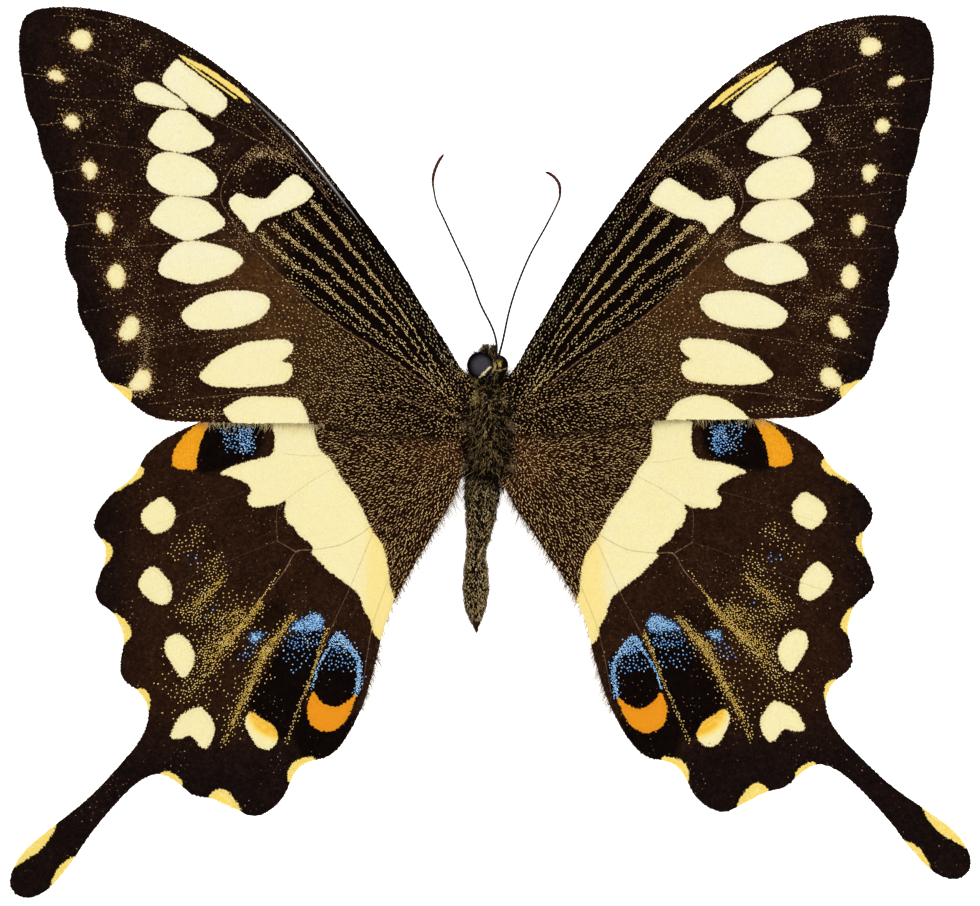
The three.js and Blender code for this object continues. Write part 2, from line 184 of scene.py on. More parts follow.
# The yellower end of the band, and the golden side of spot 5
HINDWING_BAND_END = "372,530 400,530 404,650 366,650"
HINDWING_BLUSH = "250,712 259,714 269,720 278,729 279,738 272,736 264,733 257,728 252,721"
HINDWING_YELLOW = {
    "fringe 1": "141,466 145,472 135,482 127,484.5 116,492 112,476 132,460",
    "fringe 2": "102,539 112,546 113,551 111,558 103,567 92,567 92,538",
    "fringe 3": "114,613 122,617 128,623 132,634 126,642 112,648 104,612",
    "fringe 4": "137,688 146,690 150,698 149,711 138,714 130,696",
    "tail outside": "57,822 50,838 38,852 25,860 13,868 0,862 28,828 50,812",
    "tail inside": "77,856 68,859 60,866 54,876 50,890 62,898 84,866",
    "fringe 7": "162,771 172,773 179,777 183,787 172,796 158,784",
    "fringe 8": "209,797 214,791 220,788 226,790 233,797 241,810 236,822 210,808",
    "fringe 9": "289,783 288,773 292,764 300,759 314,757 316,768 300,788",
}
HINDWING_ORANGE = {
    "front spot": "211,416 199,423 185.5,434 175,449 172,463 176,468.5 185,469.5 196,469.5 197,456 "
    "201.5,440 207,428",
    "eye crescent": "313,691 307,708 312,726 330,731.5 345,722 353,705 357,692 349,700 335,707 320,701 "
    "315,692",
}
HINDWING_BLACK = (
    ("203,438 205,425 256,424 262,440 254,456 240,461 215,470 198,470 200,452", 1.00),
    ("312,686 318,668 327,650 337,634 352,648 362,658 360,692 349,702 335,707 320,702", 1.00),
    ("250,703 262,680 276,658 290,638 322,632 314,670 302,705 286,738 264,718", 1.00),
    ("258,614 280,601 287,614 268,634 256,630", 0.55),
    ("307,708 312,726 330,732 345,723 354,716 342,745 325,757 308,758 298,745 296,728", 1.00),
)
HINDWING_BASE = (
    "470,420 300,400 310,423 315,435 319,448 325,454 333,462 342,478 355,495 365,514 372,530 383,545 "
    "388,565 391,588 "
    "400,640 480,560"
)
HINDWING_VEINS = (
    ("350,455 335,467 310,482 287,499 277,510 277,541", 0.35),
    ("277,541 296,552", 0.7),
    ("385,505 372,525 345,543 325,548 312,550", 0.6),
    ("312,550 296,552 285,570 270,590", 0.8),
    ("372,535 351,585 335,620 322,650 300,705 286,742", 0.42),
    ("400,540 389,577 372,628 362,690", 0.45),
    ("283,454 320,455 352,440 400,428", 0.3),
    ("250,490 200,507 150,527 118,532", 0.12),
    ("277,541 230,560 160,590 120,604", 0.15),
)

# Dusting of loose scales: a path on the sheet, its half width, and how thickly it is dusted at each end
FOREWING_DUST = (
    ("312,202 340,235 365,265 386,292 402,313 421,341 440,374 456,398", 2.7, 0.92, 0.35),
    ("296,214 308,226 332,250 355,275 385,307 415,345 438,380 453,399", 3.2, 0.85, 0.33),
    ("275,226 300,247 325,266 350,290 380,318 412,355 438,386 450,400", 3.7, 0.75, 0.3),
    ("262,236 290,262 322,284 355,314 388,342 425,376 446,395", 4.5, 0.65, 0.3),
    ("290,280 335,312 375,338 420,372 444,394", 4.0, 0.4, 0.2),
    ("318,205 352,250 386,300 424,350 446,384 459,401", 1.4, 0.15, 0.25),
    ("180,413 205,412 225,414", 6.0, 0.2, 0.45),
    ("128,394 146,393 162,390", 5.0, 0.3, 0.2),
)
FOREWING_FLECKS = (
    ("240,170 250,160 262,153", 6.0, 0.45, 0.65),
    ("250,158 262,150 280,156", 3.5, 0.4, 0.4),
    ("270,154 286,162 300,172", 6.0, 0.3, 0.25),
    ("106,30 150,46 196,58", 6.0, 0.07, 0.1),
)
FOREWING_FRONT_DUST = (
    ("275,136 300,158 330,190 352,222 375,252 400,285 424,318 446,352 460,374", 5.0, 0.12, 0.26),
    ("340,212 366,246 392,282 420,322 446,362", 4.0, 0.25, 0.22),
)
HINDWING_DUST = (
    ("280,570 264,595 252,612", 1.6, 0.3, 0.9),
    ("260,604 246,622 228,642", 3.6, 0.8, 0.9),
    ("240,617 226,630 206,654", 9.0, 0.38, 0.4),
    ("228,642 208,668 188,692", 7.0, 0.55, 0.25),
    ("232,622 206,652 192,690", 22.0, 0.18, 0.12),
    ("292,618 278,636 264,652", 4.5, 0.7, 1.0),
    ("266,650 252,682 240,706 224,742", 4.0, 0.9, 0.5),
    ("268,645 246,690 236,720", 10.0, 0.3, 0.2),
    ("327,630 318,655 310,680 300,705 287,742", 2.2, 0.9, 0.3),
    ("214,566 206,590 192,612", 12.0, 0.22, 0.3),
    ("222,580 208,594 196,604", 4.0, 0.6, 0.5),
    ("198,533 188,543 176,551", 7.5, 0.2, 0.16),
    ("182,612 210,618 242,612", 6.0, 0.2, 0.35),
)
HINDWING_BLUE_PATCHES = (
    ("219,428 225,424 252,426 254,450 245,456 225,450", 0.28),
    ("238,425 254,426 255,450 246,455 238,440", 0.42),
    ("291,629 296,622 305,617.5 313,612.5 320,614 324,621 322,629 312,630 300,630", 0.75),
    ("284,638 291,627 324,625 322,643 306,648 288,648", 0.25),
    ("279,652 288,640 322,640 318,657 305,670 288,672", 0.09),
    ("250,633 258,632 265,634 257,642 250,643", 0.7),
    ("250,642 238,655 238,663 250,661 257,646", 0.16),
    ("326,652 337,634 352,648 358,660 354,672 322,668", 0.17),
    ("329,645 337,634 346,640 352,649 344,653 334,650", 0.5),
    ("186,554 200,554 202,568 190,568", 0.06),
    ("204,604 222,604 222,616 204,616", 0.05),
)
HINDWING_BLUE_ARCS = (
    ("312,688 317,670 325,654 334,640", 1.6, 0.7, 0.85),
    ("332,640 339,634.5 345,641 352,650 358,660 359,675 357,692", 3.2, 0.9, 0.85),
)

# The thorax's outline along +Y and the abdomen's stations, as in the solids
THORAX_PROFILE = (
    (5.1, 0.0), (5.05, 1.45), (4.6, 1.95), (3.4, 2.35), (1.9, 2.58), (0.2, 2.6), (-1.6, 2.42), (-3.2, 2.15),
    (-4.3, 1.9), (-4.7, 1.4), (-4.75, 0.0),
)
THORAX_CENTRE_HEIGHT = 2.7
THORAX_DEPTH_RATIO = 1.14
ABDOMEN_STATIONS = (
    (-0.5, -5.0, 2.9, 1.68), (-0.6, -6.2, 2.75, 1.68), (-0.7, -8.0, 2.45, 1.56),
    (-0.85, -9.8, 2.1, 1.3), (-1.05, -11.2, 1.8, 1.05), (-1.22, -12.3, 1.55, 0.95),
    (-1.22, -13.6, 1.36, 1.14), (-1.2, -15.2, 1.29, 1.27), (-1.25, -16.8, 1.22, 1.18),
    (-1.28, -18.2, 1.12, 0.82), (-1.22, -19.4, 1.02, 0.42), (-1.15, -20.2, 0.95, 0.12),
)
# Each antenna's path from the head to its tip, and each left leg's hip, knee, ankle and foot
ANTENNA_PATHS = {
    "left": (
        (0.8, 7.3, 4.4), (0.85, 7.95, 4.75), (0.8, 9.0, 5.0), (0.35, 10.4, 5.25), (-0.8, 12.7, 5.5),
        (-1.8, 15.5, 5.7), (-3.2, 18.5, 5.9), (-4.6, 21.5, 6.05), (-5.15, 22.7, 6.1), (-5.45, 24.2, 6.15),
        (-5.5, 25.1, 6.2), (-5.3, 26.0, 6.2), (-4.9, 26.9, 6.2), (-4.4, 27.6, 6.2),
    ),
    "right": (
        (1.02, 7.2, 4.25), (1.2, 7.85, 4.7), (1.5, 9.0, 5.0), (2.1, 11.8, 5.3), (2.9, 14.4, 5.6),
        (4.2, 17.5, 5.8), (5.8, 20.4, 6.0), (7.0, 22.8, 6.1), (7.2, 23.8, 6.15), (7.1, 24.6, 6.2),
        (6.7, 25.2, 6.2), (6.2, 25.6, 6.2), (5.7, 25.8, 6.2),
    ),
}
LEG_PATHS = {
    "foreleg": ((-1.5, 3.2, 0.9), (-4.2, 4.6, 2.2), (-5.6, 6.2, 0.45), (-6.4, 8.4, 0.17)),
    "midleg": ((-1.7, 0.2, 0.9), (-5.2, 0.4, 2.4), (-7.4, -0.2, 0.45), (-10.0, -0.9, 0.17)),
    "hindleg": ((-1.5, -2.8, 0.9), (-4.6, -4.0, 2.3), (-6.2, -6.2, 0.45), (-7.6, -8.8, 0.17)),
}
# The head as in the solids: an egg rolled to one side
HEAD_CENTRE = (0.0, 6.55, 3.5)
HEAD_HALF_SIZE = (1.65, 1.35, 1.55)
HEAD_ROLL = math.radians(40)
# Middle and radius of each eye in the head, and how far the skin round it is bare; the right one has dried
# smaller and deeper
EYES = {-1: ((-1.28, -0.05, 0.3), 1.32, 0.02), 1: ((1.08, 0.0, 0.3), 1.0, 0.45)}
# Streaks of pale scales on the head: a path on the drawing sheet, its half width, its colour and its scales
HEAD_STREAKS = (
    ("479,378 484,373 489.5,367.5", 0.9, "pale_fur", 110),
    ("499,359.5 499.3,364", 1.2, "gilt", 80),
    ("496,363.5 494.5,368 492.5,372", 0.8, "fur_tip", 45),
    ("494,369.5 499,370.5 504,369", 0.5, "fur_tip", 25),
    ("486,351 487.5,347.5", 0.9, "pale_fur", 14),
)


# Colours and small sums


def linear(code):
    """An sRGB hex colour as the linear values that the renderer works in."""
    parts = [int(code[i : i + 2], 16) / 255 for i in (1, 3, 5)]
    return tuple(c / 12.92 if c <= 0.04045 else ((c + 0.055) / 1.055) ** 2.4 for c in parts)


def colour(title, code, words):
    """A colour that a user can change."""
    return bpy.props.FloatVectorProperty(
        name=title, description=words, subtype="COLOR", size=3, min=0, max=1, default=linear(code)
    )


def size(title, mm, words, low=0.01, high=10.0):
    """A length that a user can change, given here in millimetres and kept in metres."""
    return bpy.props.FloatProperty(
        name=title, description=words, default=mm * MM, min=low * MM, max=high * MM, precision=5,
        subtype="DISTANCE", unit="LENGTH",
    )


def amount(title, value, words, low=0.0, high=10.0, unit="NONE"):
    """A number that a user can change."""
    limits = {"min": low, "max": high}
    return bpy.props.FloatProperty(name=title, description=words, default=value, unit=unit, **limits)


def number(title, value, words):
    """A whole number that a user can change."""
    return bpy.props.IntProperty(name=title, description=words, default=value, min=1, max=200000)


def ease(value):
    """0 below 0, 1 above 1, and a smooth rise between."""
    value = np.clip(value, 0, 1)
    return value * value * (3 - 2 * value)


def points_of(text):
    """Points written as "x,y x,y ..." on the drawing sheet."""
    return np.array([[float(v) for v in pair.split(",")] for pair in text.split()])


def to_sheet(x, y):
    """Where points in millimetres fall on the drawing sheet."""
    return SHEET_ZERO[0] + x * SHEET_SCALE, SHEET_ZERO[1] - y * SHEET_SCALE


def from_sheet(px, py):
    """Where points of the drawing sheet lie, in millimetres."""
    return (px - SHEET_ZERO[0]) / SHEET_SCALE, (SHEET_ZERO[1] - py) / SHEET_SCALE


def unit(ways):
    """Directions brought to a length of one."""
    return ways / np.linalg.norm(ways, axis=1)[:, None]


def blend(tones, other, share):
    """Tones mixed with another tone by its share."""
    return tones * (1 - share) + np.array(other) * share


def signed_area(loop):
    """Twice the area inside a closed outline, negative where it runs clockwise."""
    x, y = loop.T
    return np.sum(x * np.roll(y, -1) - y * np.roll(x, -1))


def curve_through(before, start, end, after, steps):
    """Points on smooth curves from start to end points, bent by the points before and after them."""
    before, start, end, after = (points[:, None, :] for points in (before, start, end, after))
    share = (np.arange(steps) / steps)[None, :, None]
    square = (2 * before - 5 * start + 4 * end - after) * share**2
    cube = (3 * start - before - 3 * end + after) * share**3
    curve = 2 * start + (end - before) * share + square + cube
    return curve.reshape(-1, curve.shape[-1]) / 2


def rounded(loop, steps=4):
    """A closed outline eased by a smooth curve through its points, with its corners a little worn."""
    curve = curve_through(*(np.roll(loop, k, 0) for k in (1, 0, -1, -2)), steps)
    return even_loop(curve, 2.0)


def smooth_path(points, steps=6):
    """An open path eased by a smooth curve through its points."""
    points = np.asarray(points, float)
    ends = np.vstack([2 * points[0] - points[1], points, 2 * points[-1] - points[-2]])
    curve = curve_through(*(ends[k : len(ends) - 3 + k] for k in range(4)), steps)
    return np.vstack([curve, points[-1:]])


def depth_inside(x, y, loop):
    """How far points lie inside a closed outline, negative where they are outside."""
    nearest = np.full(x.shape, 1e12)
    inside = np.zeros(x.shape, bool)
    for (x0, y0), (x1, y1) in zip(loop, np.roll(loop, -1, 0)):
        dx, dy = x1 - x0, y1 - y0
        share = np.clip(((x - x0) * dx + (y - y0) * dy) / (dx * dx + dy * dy + 1e-12), 0, 1)
        nearest = np.minimum(nearest, (x - x0 - share * dx) ** 2 + (y - y0 - share * dy) ** 2)
        if dy:
            inside ^= ((y0 > y) != (y1 > y)) & (x < dx * (y - y0) / dy + x0)
    return np.where(inside, 1, -1) * np.sqrt(nearest)


def depth_near(x, y, loop, reach):
    """As depth_inside, but worked out only near the outline: -reach further away."""
    low, high = loop.min(0) - reach, loop.max(0) + reach
    close = (x > low[0]) & (x < high[0]) & (y > low[1]) & (y < high[1])
    depth = np.full(x.shape, -float(reach))
    depth[close] = depth_inside(x[close], y[close], loop)
    return depth


def near_path(x, y, path):
    """Distance from points to an open path, and how far along it the nearest place lies, from 0 to 1."""
    steps = np.hypot(*np.diff(path, axis=0).T)
    gone, whole = 0.0, steps.sum()
    nearest, along = np.full(x.shape, 1e12), np.zeros(x.shape)
    for (x0, y0), (x1, y1), step in zip(path[:-1], path[1:], steps):
        share = np.clip(((x - x0) * (x1 - x0) + (y - y0) * (y1 - y0)) / (step * step), 0, 1)
        gap = (x - x0 - share * (x1 - x0)) ** 2 + (y - y0 - share * (y1 - y0)) ** 2
        closer = gap < nearest
        nearest = np.where(closer, gap, nearest)
        along = np.where(closer, (gone + share * step) / whole, along)
        gone += step
    return np.sqrt(nearest), along


def blotches(x, y, size, rng):
    """Smooth random blotches of about the given size, from 0 to 1."""
    u, v = (x - x.min()) / size, (y - y.min()) / size
    grid = rng.random((int(v.max()) + 3, int(u.max()) + 3))
    i, j = u.astype(int), v.astype(int)
    a, b = ease(u - i), ease(v - j)
    upper = grid[j, i] * (1 - a) + grid[j, i + 1] * a
    lower = grid[j + 1, i] * (1 - a) + grid[j + 1, i + 1] * a
    return upper * (1 - b) + lower * b


def mix_of(rng, count, *colours):
    """Random tones anywhere along a run of colours."""
    run = np.array(colours, float)
    place = rng.random(count) * (len(run) - 1)
    i = np.minimum(place.astype(int), len(run) - 2)
    f = (place - i)[:, None]
    return run[i] * (1 - f) + run[i + 1] * f


# Meshes


class Heap:
    """Points, faces, tones and finishes of one piece, gathered in millimetres."""

    def __init__(self):
        self.points, self.tones, self.below, self.faces, self.finishes = [], [], [], [], []
        self.count = 0

    def add(self, points, faces, tones, finish=0, under=False):
        points = np.asarray(points, float).reshape(-1, 3)
        faces = np.asarray(faces, int)
        self.points.append(points)
        self.tones.append(np.broadcast_to(np.asarray(tones, float), points.shape))
        self.below.append(np.full(len(points), under))
        self.faces.append(faces + self.count)
        self.finishes.append(np.full(len(faces), finish))
        self.count += len(points)

    def build(self, name, materials, flat_map=False):
        """Makes the object. flat_map lays it out from above, with its underside in a strip beside it."""
        points, tones = np.vstack(self.points), np.vstack(self.tones)
        corners = np.concatenate([f.ravel() for f in self.faces])
        sizes = np.concatenate([np.full(len(f), f.shape[1]) for f in self.faces])
        mesh = bpy.data.meshes.new(name)
        mesh.vertices.add(len(points))
        mesh.vertices.foreach_set("co", (points * MM).astype(np.float32).ravel())
        mesh.loops.add(len(corners))
        mesh.loops.foreach_set("vertex_index", corners.astype(np.int32))
        mesh.polygons.add(len(sizes))
        starts = np.concatenate([[0], np.cumsum(sizes)[:-1]])
        mesh.polygons.foreach_set("loop_start", starts.astype(np.int32))
        mesh.polygons.foreach_set("material_index", np.concatenate(self.finishes).astype(np.int32))
        mesh.polygons.foreach_set("use_smooth", np.full(len(sizes), True))
        mesh.update(calc_edges=True)
        layer = mesh.color_attributes.new("tone", "FLOAT_COLOR", "POINT")
        solid = np.hstack([tones, np.ones((len(tones), 1))])
        layer.data.foreach_set("color", solid.astype(np.float32).ravel())
        if flat_map:
            low, high = points.min(0), points.max(0)
            u, v = ((points[:, k] - low[k]) / (high[k] - low[k]) for k in (0, 1))
            v = np.where(np.concatenate(self.below), 0.76 + 0.23 * v, 0.01 + 0.73 * v)
            layout = np.stack([0.01 + 0.98 * u, v], 1)[corners]
            mesh.uv_layers.new(name="OFBake").data.foreach_set("uv", layout.astype(np.float32).ravel())
        for material in materials:
            mesh.materials.append(material)
        piece = bpy.data.objects.new(name, mesh)
        bpy.context.scene.collection.objects.link(piece)
        return piece


def place(piece, node, slot):
    """Puts a piece in the frame in place of a solid."""
    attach(piece, "root")
    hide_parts(node)


def grid_faces(rows, columns, closed=False):
    """Quads over a grid of points; closed joins the last column to the first."""
    across = columns if closed else columns - 1
    i, j = (a.ravel() for a in np.meshgrid(np.arange(rows - 1), np.arange(across), indexing="ij"))
    k = (j + 1) % columns
    return np.stack([i * columns + j, i * columns + k, (i + 1) * columns + k, (i + 1) * columns + j], 1)


def fan_faces(sides):
    """Triangles from a ring of points to the point that follows it."""
    here = np.arange(sides)
    return np.stack([here, np.roll(here, -1), np.full(sides, sides)], 1)


def add_tube(heap, path, radii, tones, sides=8, finish=0):
    """A round tube along a path, closed at both ends."""
    path, radii = np.asarray(path, float), np.asarray(radii, float)
    ahead = np.gradient(path, axis=0)
    ahead /= np.linalg.norm(ahead, axis=1)[:, None]
    side = np.cross(ahead[0], (0.31, 0.17, 0.94))
    rings = []
    for p, d, r in zip(path, ahead, radii):
        side = side - d * side.dot(d)
        side /= np.linalg.norm(side)
        turn = np.arange(sides) * 2 * math.pi / sides
        rings.append(p + r * (np.cos(turn)[:, None] * side + np.sin(turn)[:, None] * np.cross(d, side)))
    tones = np.broadcast_to(np.asarray(tones, float), path.shape)
    faces = grid_faces(len(path), sides, closed=True)
    heap.add(np.vstack(rings), faces, np.repeat(tones, sides, 0), finish)
    for end, order in ((0, -1), (len(path) - 1, 1)):
        cap = np.vstack([rings[end], path[end]])
        heap.add(cap, fan_faces(sides)[:, ::order], np.repeat(tones[end : end + 1], sides + 1, 0), finish)


def add_strands(heap, roots, ways, lengths, widths, sag, root_tones, tip_tones, rng, finish=0, joints=3):
    """Hairs as tapered ribbons: ways are their directions, sag how far the tips bend over."""
    count = len(roots)
    widths = np.broadcast_to(widths, count)
    side = np.cross(ways, (0, 0, 1)) + 0.45 * rng.normal(size=(count, 3))
    side -= ways * (side * ways).sum(1)[:, None]
    side /= np.linalg.norm(side, axis=1)[:, None] + 1e-9
    points, tones = [], []
    for k in range(joints):
        share = k / (joints - 1)
        middle = roots + ways * (lengths * share)[:, None] + sag * share**2
        half = side * (widths * (1 - 0.8 * share) / 2)[:, None]
        points += [middle - half, middle + half]
        tones += [root_tones + (tip_tones - root_tones) * share] * 2
    layout = np.arange(count)[:, None] * 2 * joints
    quad = np.array([0, 1, 3, 2])
    faces = np.vstack([layout + 2 * k + quad for k in range(joints - 1)])
    heap.add(np.stack(points, 1).reshape(-1, 3), faces, np.stack(tones, 1).reshape(-1, 3), finish)


# Materials


def add_node(tree, kind, values=None, links=None, **settings):
    """Adds a node with its settings, its socket values and the links into it."""
    node = tree.nodes.new(kind)
    for name, value in settings.items():
        setattr(node, name, value)
    for socket, value in (values or {}).items():
        node.inputs[socket].default_value = value
    for socket, source in (links or {}).items():
        tree.links.new(source, node.inputs[socket])
    return node


BUMP_HEIGHT = 0.05 * MM


def toned_material(name, grain_mm, grain_strength, bump_mm, bump_strength, **shine):
    """A material whose colour is the piece's own tone, broken by grain, with relief of a given size."""
    material = bpy.data.materials.new(name)
    material.use_nodes = True
    tree = material.node_tree
    surface = tree.nodes["Principled BSDF"]
    where = add_node(tree, "ShaderNodeTexCoord").outputs["Object"]
    tone = add_node(tree, "ShaderNodeVertexColor", layer_name="tone").outputs["Color"]
    grain = add_node(
        tree,
        "ShaderNodeTexNoise",
        {"Scale": 1 / (grain_mm * MM), "Detail": 3.0, "Roughness": 0.6},
        {"Vector": where},
    )
    shade = add_node(
        tree,
        "ShaderNodeMapRange",
        {"From Min": 0.3, "From Max": 0.7, "To Min": 1 - grain_strength, "To Max": 1 + grain_strength},
        {"Value": grain.outputs["Fac"]},
    )
    broken = add_node(
        tree, "ShaderNodeVectorMath", links={0: tone, "Scale": shade.outputs["Result"]}, operation="SCALE"
    )
    relief = add_node(
        tree, "ShaderNodeTexNoise", {"Scale": 1 / (bump_mm * MM), "Detail": 2.0}, {"Vector": where}
    )
    bump = add_node(
        tree,
        "ShaderNodeBump",
        {"Strength": bump_strength, "Distance": BUMP_HEIGHT},
        {"Height": relief.outputs["Fac"]},
    )
    tree.links.new(broken.outputs["Vector"], surface.inputs["Base Color"])
    tree.links.new(bump.outputs["Normal"], surface.inputs["Normal"])
    for socket, value in shine.items():
        surface.inputs[socket.replace("_", " ")].default_value = value
    return material


# Wings


def sheet_height(kind, x, y):
    """Height of a wing's sheet, in millimetres, over points on either side of the body."""
    sheet = SHEETS[kind]
    dx, dy = -np.abs(x) - sheet["root"][0], y - sheet["root"][1]
    span = np.array(sheet["tip"]) - sheet["root"]
    reach = np.hypot(dx, dy)
    behind = np.maximum(0, (span[0] * dy - span[1] * dx) / np.hypot(*span))
    return sheet["height"] + sheet["rise"] * reach - sheet["flatten"] * reach**2 - sheet["droop"] * behind**2


def off_left(put, px, py):
    """How far a right wing's markings lie out and back from the mirrored left wing's, on the drawing."""
    out, back = 0.0, 0.0
    for about, fading, most in put["off"]:
        share = np.exp(-(((px - about[0]) / fading[0]) ** 2) - ((py - about[1]) / fading[1]) ** 2)
        out, back = out + most[0] * share, back + most[1] * share
    return out, back


def left_sheet(kind, side, x, y):
    """Where points of a wing fall on the drawing of the left wing."""
    if side < 0:
        return to_sheet(x, y)
    put = RIGHT_SETS[kind]
    u, v = x - put["shift"][0], y - put["shift"][1]
    scale = put["across"] * put["along"] - put["lean"] * put["lift"]
    outward = (put["along"] * u - put["lean"] * v) / scale
    forward = (put["across"] * v - put["lift"] * u) / scale
    px, py = to_sheet(-outward, forward)
    out, back = off_left(put, px, py)
    return px + out, py - back


def from_left_sheet(kind, side, points):
    """Where points of the left wing's drawing lie on a wing, in millimetres."""
    px, py = points.T
    put = RIGHT_SETS[kind]
    if side > 0:
        out, back = off_left(put, px, py)
        px, py = px - out, py + back
    x, y = from_sheet(px, py)
    if side < 0:
        return np.stack([x, y], 1)
    outward = put["across"] * -x + put["lean"] * y + put["shift"][0]
    forward = put["lift"] * -x + put["along"] * y + put["shift"][1]
    return np.stack([outward, forward], 1)


def root_of(kind, side):
    """A wing's root, in millimetres."""
    x, y = SHEETS[kind]["root"]
    return np.array([-side * x, y])


def top_rim(node):
    """The edge of a solid wing's upper face, as a loop of points in millimetres."""
    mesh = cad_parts[node].data
    keys = [tuple(round(c / MM, 3) for c in v.co) for v in mesh.vertices]
    ahead = {}
    sides = set()
    for face in mesh.polygons:
        if face.normal.z > 0.7:
            loop = [keys[i] for i in face.vertices]
            sides.update(zip(loop, loop[1:] + loop[:1]))
    for a, b in sides:
        if (b, a) not in sides and a != b:
            ahead[a] = b
    start = min(ahead)
    rim, here = [start], ahead[start]
    while here != start:
        rim.append(here)
        here = ahead[here]
    return np.array(rim)[:, :2]


def even_loop(loop, step):
    """A closed loop with points at even steps, its small facets eased."""
    closed = np.vstack([loop, loop[:1]])
    gone = np.concatenate([[0], np.cumsum(np.hypot(*np.diff(closed, axis=0).T))])
    places = np.linspace(0, gone[-1], int(gone[-1] / step), endpoint=False)
    even = np.stack([np.interp(places, gone, closed[:, k]) for k in (0, 1)], 1)
    for _ in range(3):
        even = (np.roll(even, 1, 0) + 2 * even + np.roll(even, -1, 0)) / 4
    return even


def lattice(rim, root, row, column, rng):
    """Points in offset rows that ring the wing's root, inside its rim.

    Gives their places, the directions away from the root, and ranks from 0 to 1. The points whose ranks
    fall under a share are that share of them, spread evenly: each block of three by three has every rank.
    """
    away = rim - root
    reach = np.hypot(*away.T)
    middle = math.atan2(*away.mean(0)[::-1])
    angles = np.angle(np.exp(1j * (np.arctan2(away[:, 1], away[:, 0]) - middle)))
    first, last = angles.min(), angles.max()
    rows = []
    for k in range(1, int(reach.max() / row) + 1):
        radius = k * row
        count = max(1, int((last - first) * radius / column))
        place_along = np.arange(count) + 0.5 * (k % 2) + 0.25 * rng.random(count)
        turn = first + place_along * (last - first) / count
        block = k // 3 * 100000 + np.floor((turn - first) * (k // 3 * 3 + 1.5) * row / (3 * column))
        rows.append(np.stack([radius + row * 0.2 * rng.normal(size=count), turn + middle, block], 1))
    radius, turn, block = np.vstack(rows).T
    chance = rng.random(len(block))
    order = np.lexsort((chance, block))
    _, start, sizes = np.unique(block[order], return_index=True, return_counts=True)
    rank = np.empty(len(block))
    rank[order] = (np.arange(len(block)) - np.repeat(start, sizes) + chance) / np.repeat(sizes, sizes)
    x, y = root[0] + radius * np.cos(turn), root[1] + radius * np.sin(turn)
    keep = depth_near(x, y, rim, 1.0) > 0.02
    return x[keep], y[keep], turn[keep], rank[keep]


def spread(x, y, gaps):
    """Which points to keep, taken in turn, so that each stays its own gap clear of those kept before it."""
    reach = gaps.max()
    kept, taken = np.zeros(len(x), bool), {}
    for k, (u, v, gap) in enumerate(zip(x.tolist(), y.tolist(), gaps.tolist())):
        i, j = u // reach, v // reach
        near = [p for a in (i - 1, i, i + 1) for b in (j - 1, j, j + 1) for p in taken.get((a, b), ())]
        if all((u - a) ** 2 + (v - b) ** 2 > gap * gap for a, b in near):
            taken.setdefault((i, j), []).append((u, v))
            kept[k] = True
    return kept


# A scale's root and free end: the place along it, its width against the widest, and its height
SCALE_ENDS = ((-0.5, 0.75, 0.01), (0.5, 1.0, 0.03))


def add_scales(heap, kind, x, y, turn, lengths, widths, lift, tones, rng, finish):
    """Scales lying like tiles: rooted towards the wing's root, their free ends a little raised."""
    ways = np.stack([np.cos(turn), np.sin(turn)], 1)
    right = np.stack([ways[:, 1], -ways[:, 0]], 1)
    middle = np.stack([x, y], 1)
    roll = 0.035 * widths * rng.normal(size=len(x))
    points = []
    for along, width, raised in SCALE_ENDS:
        end = middle + ways * (lengths * along)[:, None]
        for hand in (1, -1):
            corner = end + hand * right * (widths * width / 2)[:, None]
            height = sheet_height(kind, corner[:, 0], corner[:, 1]) + lift + raised + hand * roll
            points.append(np.column_stack([corner, height]))
    points = np.stack([points[0], points[2], points[3], points[1]], 1)
    # Painted shade: each scale's root, overlapped by the free end of the scale before it, is drawn a tenth
    # darker
    shade = np.array([0.9, 1.0, 1.0, 0.9])[None, :, None]
    faces = np.arange(len(x) * 4).reshape(-1, 4)
    heap.add(points.reshape(-1, 3), faces, (tones[:, None, :] * shade).reshape(-1, 3), finish)


def marks_of(kind, side, group):
    """Smooth outlines of a group of markings, on the left wing's drawing."""
    loops = {name: rounded(points_of(text)) for name, text in group.items()}
    if side > 0 and group is FOREWING_BAND:
        for name, text in RIGHT_FOREWING_BAND.items():
            x, y = left_sheet(kind, side, *from_sheet(*points_of(text).T))
            loops[name] = rounded(np.stack([x, y], 1))
    return list(loops.values())


def near_edges(kind, side, x, y, reach):
    """Which points lie near a crisp edge of a marking; the drawing is ruled in tenths of a millimetre."""
    border, across_all = 60, 1100
    ruled = np.zeros((across_all, across_all), bool)
    most = math.ceil(reach * SHEET_SCALE)
    steps = range(-most, most + 1)
    for group in MARKINGS[kind]:
        for loop in marks_of(kind, side, group):
            across, down = (even_loop(loop, 0.5) + border).astype(int).T
            for dx in steps:
                for dy in steps:
                    ruled[down + dy, across + dx] = True
    px, py = left_sheet(kind, side, x, y)
    return ruled[(py + border).astype(int), (px + border).astype(int)]


def teeth(px, py, ragged, rng):
    """How far a marking's edge strays where single scales jut out, in tenths of a millimetre."""
    return ragged * (2.4 * (blotches(px, py, 1.5, rng) - 0.5) + 0.5 * rng.normal(size=len(px)))


def mark(tone, depth, fill, edge, rng, rim=1.3):
    """Fills a marking: scales whose depth is over zero, with edge tones mixed in across its rim."""
    within = depth > 0
    tone[within] = fill[within]
    outer = within & (depth < rim)
    share = (0.75 * rng.random(outer.sum()) * (1 - depth[outer] / rim))[:, None]
    tone[outer] = blend(tone[outer], edge, share)


def mottle(px, py, rng):
    """Light and dark over the ground scales: wide clouds, small blotches and each scale's own shade."""
    clouds = (0.8 + 0.4 * blotches(px, py, 14, rng)) * (0.7 + 0.6 * blotches(px, py, 3, rng))
    return (clouds * np.exp(0.28 * rng.normal(size=len(px))))[:, None]


